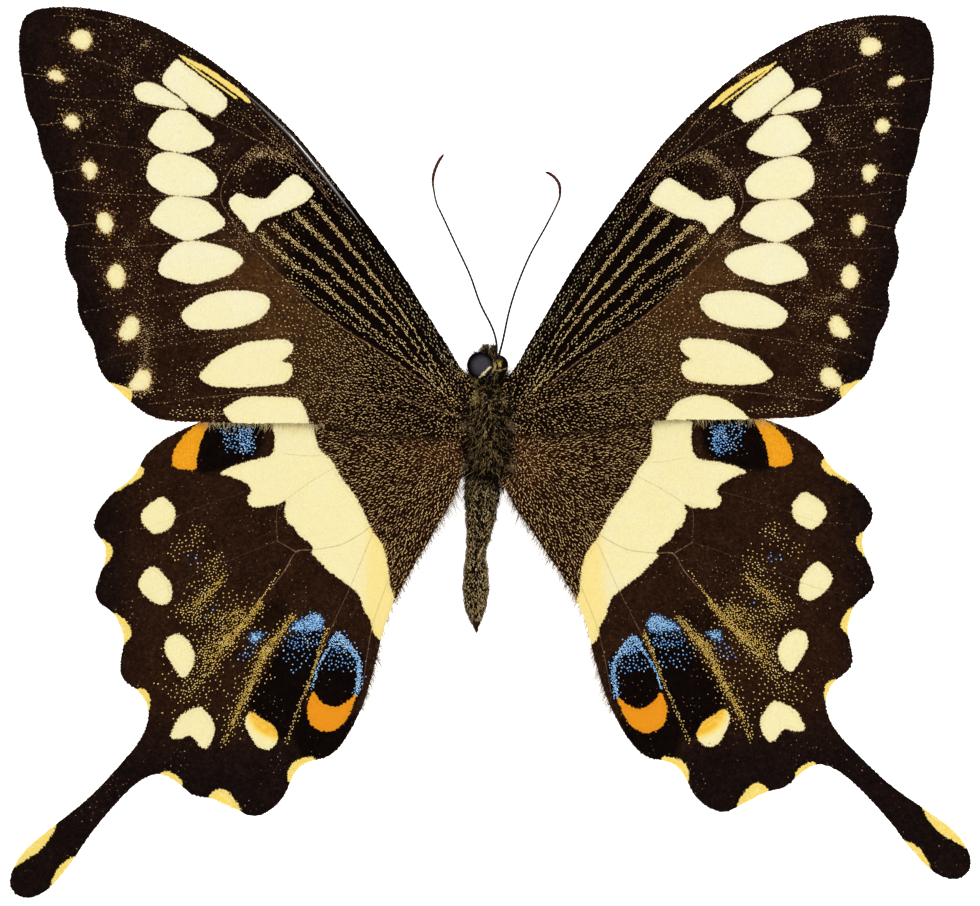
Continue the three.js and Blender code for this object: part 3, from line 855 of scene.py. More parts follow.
def cream_fill(look, x, y, rng, warmth):
    """Cream scales: pale, with yellower clouds."""
    cloud = np.clip(warmth + 0.5 * (blotches(x, y, 22, rng) - 0.5), 0, 1)[:, None]
    fill = blend(np.array(look.cream), look.warm_cream, cloud)
    return fill * (1 + 0.012 * rng.normal(size=len(x)))[:, None]


def yellow_fill(look, count, rng):
    """Yellow scales, a few of them paler."""
    return mix_of(rng, count, look.yellow, look.yellow, look.yellow, look.warm_cream)


def forewing_tones(side, x, y, rng, look, ragged=0.6):
    """Tones of forewing scales at points in millimetres."""
    px, py = left_sheet("forewing", side, x, y)
    count = len(px)
    band = np.interp(py, (95, 130, 175, 218, 262, 310, 362, 410), (150, 175, 180, 185, 200, 225, 245, 265))
    brownness = (ease((px - band + 40) / 90) * ease((py - 205) / 80))[:, None]
    edge = np.interp(py, (20, 100, 180, 230, 290, 350, 390), (20, 28, 55, 68, 80, 97, 125))
    inner = (ease((px - edge) / 45) * (0.35 + 0.65 * ease((py - 110) / 160)))[:, None]
    tone = blend(blend(np.array(look.margin), look.dark, inner), look.brown, brownness)
    cell = ease((depth_near(px, py, rounded(points_of(FOREWING_CELL)), 12) + 3) / 6)
    cell = cell * (0.25 + 0.75 * ease((px - 258) / 40))
    near_root = 0.97 * ease((245 - np.hypot(px - FOREWING_ROOT[0], py - FOREWING_ROOT[1])) / 140)
    tone = blend(tone, look.black, np.maximum(cell, near_root)[:, None])
    tone *= mottle(px, py, rng)
    fill = cream_fill(look, px, py, rng, 0.95)
    for loop in marks_of("forewing", side, FOREWING_SPOTS):
        clean = depth_near(px, py, loop, 14)
        depth = clean + 1.4 * teeth(px, py, ragged, rng)
        fuzz = (0.65 if side < 0 else 0.4) * np.exp(np.minimum(depth, 0) / (2.2 if side < 0 else 1.5))
        halo = (depth < 0) & (clean > -12) & (rng.random(count) < fuzz)
        tone[halo] = mix_of(rng, halo.sum(), look.brown, look.fleck, look.rim)
        mark(tone, depth, fill, look.rim, rng, 3.0)
    fill = cream_fill(look, px, py, rng, 0.25 + 0.5 * ease((py - 280) / 100))
    for loop in marks_of("forewing", side, FOREWING_BAND):
        mark(tone, depth_near(px, py, loop, 6) + teeth(px, py, 0.75 * ragged, rng), fill, look.rim, rng)
    for loop in marks_of("forewing", side, FOREWING_YELLOW):
        depth = depth_near(px, py, loop, 6) + teeth(px, py, 0.5 * ragged, rng)
        mark(tone, depth, yellow_fill(look, count, rng), look.yellow, rng)
    return tone


# Share of a lattice's points that the thickest dust tries to fill
DUST_SHARE = 1.5


def dust_density(px, py, strokes, taper=0.0):
    """How thickly points are dusted by strokes, from 0 to 1. taper is how much narrower they end."""
    bare = np.ones(px.shape)
    for text, half_width, start, end in strokes:
        path = smooth_path(points_of(text))
        low, high = path.min(0) - 3 * half_width, path.max(0) + 3 * half_width
        close = (px > low[0]) & (px < high[0]) & (py > low[1]) & (py < high[1])
        away, along = near_path(px[close], py[close], path)
        thick = start + (end - start) * along ** (1 + 2 * taper)
        bare[close] *= 1 - thick * np.exp(-((away / (half_width * (1 - taper * along))) ** 2))
    return 1 - bare


def forewing_dust(side, x, y, rank, rng, look):
    """How thickly lattice points carry loose gold scales, and their tones.

    Also their lengths and widths against the usual.
    """
    px, py = left_sheet("forewing", side, x, y)
    reach = np.hypot(px - FOREWING_ROOT[0], py - FOREWING_ROOT[1])
    below = ease((4 - depth_near(px, py, points_of(FOREWING_CELL), 40)) / 8)
    root = 0.37 * ease((262 - reach) / 140) * (1 - 0.3 * ease((130 - reach) / 70))
    root *= np.maximum(below, ease((85 - reach) / 45))
    density = dust_density(px, py, FOREWING_DUST, 0.72)
    front = dust_density(px, py, FOREWING_FRONT_DUST)
    away = np.min([near_path(px, py, points_of(text))[0] for text, _ in FOREWING_VEINS[:-1]], 0)
    bare, halo = np.zeros(len(px), bool), np.zeros(len(px))
    for group in MARKINGS["forewing"]:
        for loop in marks_of("forewing", side, group):
            depth = depth_near(px, py, loop, 14)
            bare |= depth > 0.5
            if group is FOREWING_SPOTS:
                halo = np.maximum(halo, np.exp(np.minimum(depth, 0) / 4) * (depth > -14))
    outer = ease((px - np.interp(py, (20, 180, 290, 390), (40, 62, 90, 130))) / 30)
    stray = 0.24 * np.exp(-((away / 1.2) ** 2)) + (0.25 if side < 0 else 0.12) * halo
    stray += 0.75 * outer * blotches(px, py, 18, rng) ** 4 * ease((reach - 230) / 60)
    flecks = dust_density(px, py, FOREWING_FLECKS)
    stray = 1 - (1 - stray) * (1 - flecks)
    thick = (1 - (1 - density) * (1 - root) * (1 - front) * (1 - stray)) * ~bare
    tones = mix_of(rng, len(px), look.fleck, look.dust, look.dust, look.pale_gold, look.pale_gold)
    dull = root > density
    tones[dull] = mix_of(rng, dull.sum(), look.fleck, look.base_dust, look.dust)
    grey = front > np.maximum(density, root)
    tones[grey] = mix_of(rng, grey.sum(), look.fleck, look.grey_gold, look.pale_gold)
    plain = stray > np.max([density, root, front], 0)
    tones[plain] = mix_of(rng, plain.sum(), look.fleck, look.fleck, look.dust, look.pale_fleck)
    small = np.where(plain, 0.8 + 0.2 * (flecks > 0.15), 1.0)
    by_body = ease((200 - reach) / 120)
    return thick, tones, small * (1 + 0.35 * by_body), small * (1 - 0.16 * by_body)


def hindwing_tones(side, x, y, rng, look, ragged=0.6):
    """Tones of hindwing scales at points in millimetres."""
    px, py = left_sheet("hindwing", side, x, y)
    count = len(px)
    base = ease((depth_near(px, py, points_of(HINDWING_BASE), 30) + 6) / 12)[:, None]
    inner = (ease((px - 95) / 60) * ease((780 - py) / 90))[:, None]
    ground = np.array(look.black) * 0.5 + np.array(look.russet) * 0.5
    tone = blend(blend(np.array(look.margin), look.dark, inner), ground, base)
    for text, share in HINDWING_BLACK:
        core = share * ease((depth_near(px, py, rounded(points_of(text)), 12) + 6) / 8)[:, None]
        tone = blend(tone, look.black, core)
    for text, thick in HINDWING_BLUE_PATCHES:
        bed = ease((thick - 0.45) / 0.3) * ease((depth_near(px, py, points_of(text), 8) + 2.5) / 7)[:, None]
        tone = blend(tone, np.array(look.blue) * 0.2, bed)
    warm = ease((64 - np.hypot(px - 450, 1.4 * (py - 446))) / 50)[:, None]
    tone = blend(tone, np.array(look.russet) * 1.45, warm)
    tone *= mottle(px, py, rng)
    fill = cream_fill(look, px, py, rng, 0.95)
    yellower = ease((depth_near(px, py, points_of(HINDWING_BAND_END), 14) + 12) / 16)[:, None]
    fill = blend(fill, look.yellow, 0.5 * yellower)
    blush = depth_near(px, py, points_of(HINDWING_BLUSH), 14)
    fill = blend(fill, look.yellow, ease((blush + 7) / 7)[:, None])
    golden = ease((blush + 2) / 4) * np.minimum(0.4 + 0.9 * blotches(px, py, 3, rng), 1)
    fill = blend(fill, look.honey, golden[:, None])
    for loop in marks_of("hindwing", side, HINDWING_CREAM):
        mark(tone, depth_near(px, py, loop, 6) + teeth(px, py, ragged, rng), fill, look.rim, rng)
    for loop in marks_of("hindwing", side, HINDWING_YELLOW):
        depth = depth_near(px, py, loop, 6) + teeth(px, py, ragged, rng)
        mark(tone, depth, yellow_fill(look, count, rng), look.yellow, rng)
    pairs = ((look.orange, look.amber), (look.tawny, look.orange))
    for loop, tints in zip(marks_of("hindwing", side, HINDWING_ORANGE), pairs):
        depth = depth_near(px, py, loop, 6) + teeth(px, py, ragged, rng)
        mark(tone, depth, mix_of(rng, count, *tints), tints[0], rng)
    return tone


def hindwing_dust(side, x, y, rank, rng, look):
    """How thickly lattice points carry loose gold or blue scales, their tones, lengths and widths."""
    px, py = left_sheet("hindwing", side, x, y)
    base = 0.28 * ease((depth_near(px, py, points_of(HINDWING_BASE), 30) + 4) / 5)
    away = np.min([near_path(px, py, points_of(text))[0] for text, _ in HINDWING_VEINS], 0)
    stray = 0.12 * np.exp(-((away / 1.2) ** 2)) + 0.06 * blotches(px, py, 24, rng) ** 3
    gold = dust_density(px, py, HINDWING_DUST)
    blue = dust_density(px, py, HINDWING_BLUE_ARCS)
    for text, thick in HINDWING_BLUE_PATCHES:
        blue = 1 - (1 - blue) * (1 - thick * ease((depth_near(px, py, points_of(text), 8) + 3) / 6))
    is_blue = rank < DUST_SHARE * blue
    thick = np.where(is_blue, blue, 1 - (1 - gold) * (1 - base) * (1 - stray))
    for group in MARKINGS["hindwing"]:
        for loop in marks_of("hindwing", side, group):
            thick *= depth_near(px, py, loop, 4) < 0.5
    tones = mix_of(rng, len(px), look.old_gold, look.gold, look.gold, look.pale_gold)
    thin = gold < 0.45
    tones[thin] = mix_of(rng, thin.sum(), look.gold, look.pale_gold)
    dull = base > gold
    tones[dull] = mix_of(rng, dull.sum(), look.fleck, look.base_dust, look.dust)
    plain = stray > np.maximum(gold, base)
    tones[plain] = mix_of(rng, plain.sum(), look.brown, look.fleck, look.fleck, look.pale_fleck)
    tones[is_blue] = mix_of(rng, is_blue.sum(), look.blue, look.blue, look.pale_blue)
    bright = is_blue & (blue > 0.6)
    tones[bright] = mix_of(rng, bright.sum(), look.blue, look.pale_blue)
    longer = np.where(is_blue, 0.92, np.where(plain, 0.7, np.where(dull, 1.7, 0.9)))
    wider = np.where(is_blue, 1.38, np.where(plain, 0.8, np.where(dull, 0.86, 1.15)))
    return thick, tones, longer, wider


# Order of a wing's finishes, and the mean tone that parts cream ground from dark
SCALE, MEMBRANE, VEIN, HAIR, FRONT_VEIN = range(5)
PALE_GROUND = 0.3
# Hair along a wing's rear or inner edge: hairs at each place, how far in they root, how far they stray,
# their width, and the share of them that grows on cream ground, on the left and on the right
EDGE_HAIR = {
    "forewing": {"hairs": 2, "back": 0.15, "astray": 0.4, "width": 0.035, "on_cream": {-1: 0.8, 1: 0.4}},
    "hindwing": {"hairs": 7, "back": 0.6, "astray": 0.2, "width": 0.026, "on_cream": {-1: 0.25, 1: 0.25}},
}
# Rear end, front end and middle of the hair along a wing's joint
JOINT_HAIR = {"forewing": (0.0, 4.3, 0.5), "hindwing": (-4.6, 0.0, -3.4)}
MARKINGS = {
    "forewing": (FOREWING_SPOTS, FOREWING_BAND, FOREWING_YELLOW),
    "hindwing": (HINDWING_CREAM, HINDWING_YELLOW, HINDWING_ORANGE),
}
PAINTERS = {"forewing": (forewing_tones, forewing_dust), "hindwing": (hindwing_tones, hindwing_dust)}


def add_membrane(heap, kind, side, rim, rng, look):
    """The wing's membrane: an upper and a lower face and the edge between them."""
    step = look.membrane_step / MM
    low, high = rim.min(0), rim.max(0)
    gx, gy = np.meshgrid(np.arange(low[0], high[0], step), np.arange(low[1], high[1], step))
    gx[1::2] += step / 2
    gx, gy = gx.ravel(), gy.ravel()
    inside = depth_near(gx, gy, rim, 1.0) > 0.4 * step
    flat = np.vstack([rim, np.stack([gx[inside], gy[inside]], 1)])
    loop = list(range(len(rim)))
    made = delaunay_2d_cdt([tuple(p) for p in flat], list(zip(loop, loop[1:] + loop[:1])), [loop], 1, 1e-6)
    flat, faces = np.array([tuple(v) for v in made[0]]), np.array(made[2])
    a, b, c = (flat[faces[:, k]] for k in range(3))
    turned = np.cross(b - a, c - a) < 0
    faces[turned] = faces[turned][:, ::-1]
    height = sheet_height(kind, flat[:, 0], flat[:, 1])
    tones = PAINTERS[kind][0](side, flat[:, 0], flat[:, 1], rng, look, ragged=0.0)
    pale = tones * 0.55 + np.array(look.underside) * 0.45
    half = look.membrane_thickness / MM / 2
    heap.add(np.column_stack([flat, height + half]), faces, tones, MEMBRANE)
    heap.add(np.column_stack([flat, height - half]), faces[:, ::-1], pale, MEMBRANE, under=True)
    count = len(rim)
    height = sheet_height(kind, rim[:, 0], rim[:, 1])
    edge = np.vstack([np.column_stack([rim, height + half]), np.column_stack([rim, height - half])])
    here, ahead = np.arange(count), np.roll(np.arange(count), -1)
    walls = np.stack([here, here + count, ahead + count, ahead], 1)
    heap.add(edge, walls if signed_area(rim) > 0 else walls[:, ::-1], np.array(look.dark), MEMBRANE)


def add_veins(heap, kind, side, rim, rng, look):
    """Veins: low ridges that taper away from the wing's root, thinly scaled."""
    paths = FOREWING_VEINS if kind == "forewing" else HINDWING_VEINS
    for text, plain in paths:
        path = smooth_path(from_left_sheet(kind, side, points_of(text)), 10)
        path = path[depth_inside(path[:, 0], path[:, 1], rim) > 0.25]
        ahead = np.gradient(path, axis=0)
        across = np.stack([ahead[:, 1], -ahead[:, 0]], 1) / np.hypot(*ahead.T)[:, None]
        reach = np.hypot(*(path - root_of(kind, side)).T)
        half = look.vein_width / MM / 2 * np.clip(1.35 - reach / 55, 0.5, 1.3) * (0.5 + 0.5 * plain)
        half *= 1 + 0.2 * rng.normal(size=len(path))
        rows = []
        for k, raised in ((-1, 0.0), (0, 1.0), (1, 0.0)):
            p = path + across * (k * half)[:, None]
            base = sheet_height(kind, p[:, 0], p[:, 1]) + look.membrane_thickness / MM / 2 + 0.03
            rows.append(np.column_stack([p, base + raised * 0.05]))
        ground = PAINTERS[kind][0](side, path[:, 0], path[:, 1], rng, look, ragged=0.0)
        pale = (ground.mean(1) > PALE_GROUND)[:, None]
        own = np.where(pale, np.array(look.cream_vein), np.array(look.vein))
        own = own * (0.35 + rng.random((len(path), 1)))
        share = np.where(pale, 0.0 if kind == "forewing" else 0.7 * plain, plain)
        points = np.stack(rows, 1).reshape(-1, 3)
        tones = np.repeat(ground + (own - ground) * share, 3, 0)
        heap.add(points, grid_faces(len(path), 3)[:, ::-1], tones, VEIN)


def add_front_vein(heap, kind, side, rim, look):
    """The bare stretch of vein behind the forewing's front edge: a flattened tube, turned outwards."""
    px, py = left_sheet(kind, side, rim[:, 0], rim[:, 1])
    front = np.flatnonzero((py < 1.55 * px - 295) & (px > 215) & (px < 365))
    path = smooth_path(rim[front[np.argsort(px[front])]][::4], 8)
    ahead = np.gradient(path, axis=0)
    ahead /= np.hypot(*ahead.T)[:, None]
    out = np.column_stack([-ahead[:, 1], ahead[:, 0], np.zeros(len(path))]) * -side
    half = look.front_vein_radius / MM * np.sin(np.linspace(0.1, math.pi - 0.1, len(path))) ** 0.7
    middle = np.column_stack([path, sheet_height(kind, path[:, 0], path[:, 1]) + 0.15]) - out * 0.48
    up, tilt, sides = np.array([0.0, 0.0, 1.0]), math.radians(21), 16
    face, across = math.cos(tilt) * up + math.sin(tilt) * out, math.cos(tilt) * out - math.sin(tilt) * up
    turn = np.arange(sides) * 2 * math.pi / sides
    rings = middle[:, None] + half[:, None, None] * (
        np.cos(turn)[None, :, None] * across[:, None] + 0.2 * np.sin(turn)[None, :, None] * face[:, None]
    )
    faces = grid_faces(len(path), sides, closed=True)
    heap.add(rings.reshape(-1, 3), faces if side > 0 else faces[:, ::-1], np.array(look.margin), FRONT_VEIN)


def add_fringe(heap, kind, side, rim, rng, look):
    """Short scales along the wing's outer edges, and soft hair along the hindwing's inner edge."""
    fine = even_loop(rim, look.fringe_step / MM)
    ahead = np.roll(fine, -1, 0) - np.roll(fine, 1, 0)
    ahead /= np.hypot(*ahead.T)[:, None]
    out = np.stack([ahead[:, 1], -ahead[:, 0]], 1) * (1 if signed_area(fine) > 0 else -1)
    px, py = left_sheet(kind, side, fine[:, 0], fine[:, 1])
    if kind == "forewing":
        fringed = ((px < 60) & (py > 22)) | ((py > 60) & (px < 140)) | ((py > 380) & (px < 440))
        hairy = (py > 415) & (px > 200) & (px < 440)
    else:
        hairy = (px > 362) & (py > 480) & (px < 462)
        fringed = (px < 372) & (py > 425) & ~hairy
    inner = fine - out * 0.22
    tones = PAINTERS[kind][0](side, inner[:, 0], inner[:, 1], rng, look, ragged=0.3)
    count = len(fine)
    height = sheet_height(kind, fine[:, 0], fine[:, 1])
    roots = np.column_stack([fine - out * 0.2, height + 0.04])
    ways = unit(np.column_stack([out + 0.25 * rng.normal(size=(count, 2)), 0.1 * rng.normal(size=count)]))
    pick = np.flatnonzero(fringed)
    lengths = 0.16 + 0.16 * rng.random(count)
    own, sag = tones[pick], np.zeros((len(pick), 3))
    roots, ways, lengths = roots[pick], ways[pick], lengths[pick]
    add_strands(heap, roots, ways, lengths, 0.11, sag, own, own * 1.1, rng, SCALE, joints=2)
    hair = EDGE_HAIR[kind]
    pick = np.repeat(np.flatnonzero(hairy), hair["hairs"])
    on_cream = rng.random(len(pick)) < hair["on_cream"][side]
    pick = pick[(tones[pick].mean(1) < PALE_GROUND) | on_cream]
    count = len(pick)
    back = np.where(tones[pick].mean(1) > PALE_GROUND, 0.02, hair["back"]) * rng.random(count)
    roots = np.column_stack([fine[pick] - out[pick] * back[:, None], height[pick] + 0.06])
    flow = np.array([side * 0.25, -1.0])
    flat = 0.65 * out[pick] + flow * 0.7 + hair["astray"] * rng.normal(size=(count, 2))
    ways = unit(np.column_stack([flat, 0.12 * rng.normal(size=count)]))
    lengths = (0.3 + 0.7 * rng.random(count) ** 1.5) * 1.1
    if kind == "hindwing":
        lengths = 0.7 + 2.2 * rng.random(count) ** 5
    sag = np.column_stack([0.12 * rng.normal(size=(count, 2)), -0.1 * rng.random(count)])
    tips = mix_of(rng, count, look.black, look.black, look.brown, look.fleck)
    if kind == "forewing":
        tips = mix_of(rng, count, look.fleck, look.pale_gold, look.pale_gold)
        dim = px[pick] > 325
        tips[dim] = mix_of(rng, dim.sum(), look.black, look.brown)
    add_strands(heap, roots, ways, lengths, hair["width"], sag, tips * 0.6, tips, rng, HAIR)
    add_root_hair(heap, kind, side, rng, look)


def add_root_hair(heap, kind, side, rng, look):
    """Hair along a wing's joint with the thorax, combed out over the wing and back."""
    count = look.root_hairs
    low, high, joint = JOINT_HAIR[kind]
    y = np.where(rng.random(count) < 0.4, rng.normal(joint, 0.6, count), rng.uniform(low, high, count))
    flat = np.stack([side * (1.9 + 0.7 * rng.random(count) ** 2), np.clip(y, low, high)], 1)
    roots = np.column_stack([flat, sheet_height(kind, flat[:, 0], flat[:, 1]) + 0.1])
    ways = unit(np.array([side * 0.8, -0.55, 0.22]) + 0.3 * rng.normal(size=(count, 3)))
    sag = np.column_stack([0.25 * rng.normal(size=(count, 2)), -0.25 * rng.random(count)])
    tips = mix_of(rng, count, look.black, look.black, look.russet)
    tuft = np.abs(y - joint) < 0.5
    tips[tuft] = mix_of(rng, tuft.sum(), look.russet, look.brown, look.fleck, look.pale_fleck)
    lengths = 0.4 + 0.5 * rng.random(count)
    add_strands(heap, roots, ways, lengths, 0.05, sag, tips * 0.4, tips, rng, HAIR)


# Spacing of the rows of scales, and a scale's length and width, against the spacing along a row
SCALE_ROW, SCALE_LENGTH, SCALE_WIDTH = 1.15, 1.8, 1.3
# How far the small edge scales and the loose scales lie above the others, in millimetres
EDGE_SCALE_LIFT, DUST_LIFT = 0.02, 0.05


def make_wing(kind, side, look):
    """One wing: membrane, tiled scales, loose gold and blue scales, veins and fringe."""
    label = "left" if side < 0 else "right"
    node = f"{kind}_{label}"
    rng = np.random.default_rng(sum(map(ord, node)))
    rim = even_loop(top_rim(node), look.rim_step / MM)
    root = root_of(kind, side)
    heap = Heap()
    add_membrane(heap, kind, side, rim, rng, look)
    area = abs(signed_area(rim)) / 2
    column = math.sqrt(area / (SCALE_ROW * look.scale_count))
    tones_of, dust_of = PAINTERS[kind]
    lift = look.membrane_thickness / MM / 2
    for fine in (False, True):
        pitch = look.edge_scale_pitch / MM if fine else column
        x, y, turn, _ = lattice(rim, root, SCALE_ROW * pitch, pitch, rng)
        near_edge = near_edges(kind, side, x, y, look.edge_reach / MM)
        x, y, turn = (v[near_edge == fine] for v in (x, y, turn))
        tones = tones_of(side, x, y, rng, look)
        sizes = pitch * np.exp(0.1 * rng.normal(size=(2, len(x))))
        turn = turn + 0.12 * rng.normal(size=len(x))
        lengths, widths = SCALE_LENGTH * sizes[0], SCALE_WIDTH * sizes[1]
        add_scales(heap, kind, x, y, turn, lengths, widths, lift + EDGE_SCALE_LIFT * fine, tones, rng, SCALE)
    spacing = look.dust_spacing / MM
    x, y, turn, rank = lattice(rim, root, 1.1 * spacing, spacing, rng)
    thick, *dust = dust_of(side, x, y, rank, rng, look)
    kept = np.flatnonzero(rank < DUST_SHARE * thick)
    kept = kept[rng.permutation(len(kept))]
    kept = kept[spread(x[kept], y[kept], np.minimum(0.76 * spacing / np.sqrt(thick[kept]), 2.2 * spacing))]
    x, y, turn, tones, longer, wider = (v[kept] for v in (x, y, turn, *dust))
    lengths = look.dust_length / MM * (0.7 + 0.6 * rng.random(len(x))) * longer
    widths = look.dust_width / MM * (0.75 + 0.5 * rng.random(len(x))) * wider
    astray = 0.3 + 0.9 * ease((5 - np.hypot(x - root[0], y - root[1])) / 4)
    turn = turn + astray * rng.normal(size=len(x))
    add_scales(heap, kind, x, y, turn, lengths, widths, lift + DUST_LIFT, tones, rng, SCALE)
    add_veins(heap, kind, side, rim, rng, look)
    if kind == "forewing" and side < 0:
        add_front_vein(heap, kind, side, rim, look)
    add_fringe(heap, kind, side, rim, rng, look)
    piece = heap.build(f"{node}_scaled", wing_materials(), flat_map=True)
    place(piece, node, "wing_scales")


def wing_materials():
    """The wings' finishes, made once and shared."""
    names = (
        "Dry wing scales, ridged chitin",
        "Wing membrane, dried chitin",
        "Wing vein cuticle, thinly scaled",
        "Wing hair, chitin bristle",
        "Front vein cuticle, bare and waxy",
    )
    if names[0] not in bpy.data.materials:
        # Overlapping plates ridged finer than the eye can see: a dusty, velvety matt with a faint sheen.
        # The ridges are about 0.002 mm apart, too fine to show, so the grain is drawn at 0.08 mm.
        toned_material(names[0], 0.08, 0.035, 0.05, 0.1, Roughness=0.8, Specular_IOR_Level=0.03)
        # A thin dry skin: matt and papery below, with coarse mottling
        toned_material(names[1], 0.3, 0.1, 0.2, 0.2, Roughness=0.8, Specular_IOR_Level=0.06)
        # Bare tube walls showing between few scales: a little shinier than the wing around them
        toned_material(names[2], 0.12, 0.2, 0.1, 0.2, Roughness=0.5, Specular_IOR_Level=0.15)
        # Fine bristles: soft highlights along each hair
        toned_material(names[3], 0.2, 0.15, 0.1, 0.1, Roughness=0.6, Specular_IOR_Level=0.1)
        # A bare tube along the front edge, polished by its wax: a thin bright line where it faces the light
        toned_material(names[4], 0.3, 0.1, 0.2, 0.05, Roughness=0.16, Specular_IOR_Level=0.35)
    return [bpy.data.materials[n] for n in names]


# Body


def fur_material():
    """Fur of fine bristles, made once and shared."""
    name = "Body fur, chitin bristle"
    if name not in bpy.data.materials:
        # Each hair is a tapering dark tube with a lighter tip: soft, a little shiny along the hair
        toned_material(name, 0.15, 0.2, 0.1, 0.15, Roughness=0.6, Specular_IOR_Level=0.05)
    return bpy.data.materials[name]


def cuticle_material():
    """Hard dark skin of legs, antennae and tongue, made once and shared."""
    name = "Limb cuticle, hardened chitin"
    if name not in bpy.data.materials:
        # Waxy dark brown with fine pits: a narrow soft highlight along each limb
        toned_material(name, 0.1, 0.2, 0.06, 0.25, Roughness=0.42, Specular_IOR_Level=0.12)
    return bpy.data.materials[name]


def add_fur(heap, points, normals, lengths, lean, width, tones, rng, lift=0.55):
    """Hairs over a skin, leaning the way they were combed; lift is how far they stand up."""
    count = len(points)
    ways = unit(normals * lift + lean + 0.28 * rng.normal(size=(count, 3)))
    sag = (lean * 0.35 + 0.3 * rng.normal(size=(count, 3))) * lengths[:, None] - np.array([0, 0, 0.08])
    roots = points - normals * 0.04
    low = roots[:, 2] + ways[:, 2] * lengths + sag[:, 2]
    keep = low > 0.02
    roots, ways, lengths, sag, tones = (v[keep] for v in (roots, ways, lengths, sag, tones))
    add_strands(heap, roots, ways, lengths, width, sag, tones * 0.3, tones, rng)


def add_curls(heap, points, normals, lean, lengths, width, tones, rng):
    """Flat light hairs lying over the fur, each bent to one side."""
    count = len(points)
    ways = lean + 0.4 * rng.normal(size=(count, 3))
    ways = unit(ways - 0.85 * normals * (ways * normals).sum(1)[:, None])
    bend = np.cross(normals, ways) * (0.5 * lengths * rng.normal(size=count))[:, None]
    widths = width * (0.7 + 0.6 * rng.random(count))
    roots, sag = points + normals * 0.16, bend - normals * 0.06
    add_strands(heap, roots, ways, lengths, widths, sag, tones * 0.8, tones, rng, joints=4)


def tufted(points, rng, look, share):
    """Tones of fur: dark, with about a share of it in small golden tufts."""
    count = len(points)
    across, along, up = points.T
    tuft = blotches(across + 0.6 * up, along, look.tuft_size / MM, rng) + 0.25 * rng.normal(size=count)
    tones = mix_of(rng, count, look.skin, look.fur)
    bright = tuft > 1 - share
    tones[bright] = mix_of(rng, bright.sum(), look.fur, look.fur_tip, look.fur_tip)
    return tones


def make_thorax(look):
    """Barrel of the thorax under combed fur."""
    rng = np.random.default_rng(11)
    places, radii = np.array(THORAX_PROFILE)[::-1].T
    rows, sides = 46, 40

    def skin(y, a):
        r = np.interp(y, places, radii) * 0.985
        z = np.maximum(THORAX_CENTRE_HEIGHT - r * np.cos(a) * THORAX_DEPTH_RATIO, 0.0)
        return np.stack([r * np.sin(a), y + 0 * a, z], -1)

    heap = Heap()
    turn = np.arange(sides) * 2 * math.pi / sides
    rings = skin(np.linspace(places[0], places[-1], rows)[:, None], turn[None, :])
    heap.add(rings.reshape(-1, 3), grid_faces(rows, sides, closed=True)[:, ::-1], np.array(look.skin))
    count, at_rear, at_front = look.thorax_hairs, 900, 700
    y = np.concatenate([
        rng.uniform(-4.7, 5.0, count - at_rear - at_front),
        rng.uniform(-4.75, -4.55, at_rear),
        rng.uniform(4.9, 5.1, at_front),
    ])
    a = rng.uniform(-math.pi, math.pi, count)
    points = skin(y, a)
    slope = np.interp(y + 0.2, places, radii) - np.interp(y - 0.2, places, radii)
    normals = unit(np.stack([np.sin(a), -slope / 0.4, -np.cos(a) / THORAX_DEPTH_RATIO], 1))
    keep = points[:, 2] > 0.35
    points, normals = points[keep], normals[keep]
    count = len(points)
    x, y, _ = points.T
    front = ease((y - 2.6) / 2.0)
    lean = np.stack([0.25 * np.sign(x), 0.9 * front - 0.75, np.zeros(count)], 1)
    tones = tufted(points, rng, look, 0.1)
    streak = (np.abs(x + 1.05) < 0.16) & (y > 2.9) & (y < 4.8)
    streak |= (np.abs(x - 1.45) < 0.16) & (y > 2.8) & (y < 3.8)
    tones[streak] = mix_of(rng, streak.sum(), look.fur_tip, look.collar)
    neck = y > 4.85
    tones[neck] = mix_of(rng, neck.sum(), look.skin, look.fur)
    ends = np.maximum(ease((y - 3.9) / 0.8), ease((-3.6 - y) / 0.8))
    lengths = look.fur_length / MM * (0.55 + 0.6 * rng.random(count)) * (1 + 0.8 * ends)
    add_fur(heap, points, normals, lengths, lean, look.fur_width / MM, tones, rng)
    pick = rng.permutation(count)[: look.thorax_curls]
    rear = ease((-1 - y[pick]) / 2.5)[:, None]
    tones = mix_of(rng, len(pick), look.fur, look.fur_tip, look.fur_tip) * (1 - 0.5 * front[pick])[:, None]
    tones *= 1 - rear * np.array([0.0, 0.12, 0.3])
    lengths = 0.17 + 0.17 * rng.random(len(pick))
    add_curls(heap, points[pick], normals[pick], lean[pick], lengths, look.curl_width / MM, tones, rng)
    place(heap.build("thorax_furred", [fur_material()]), "thorax", "body_fur")


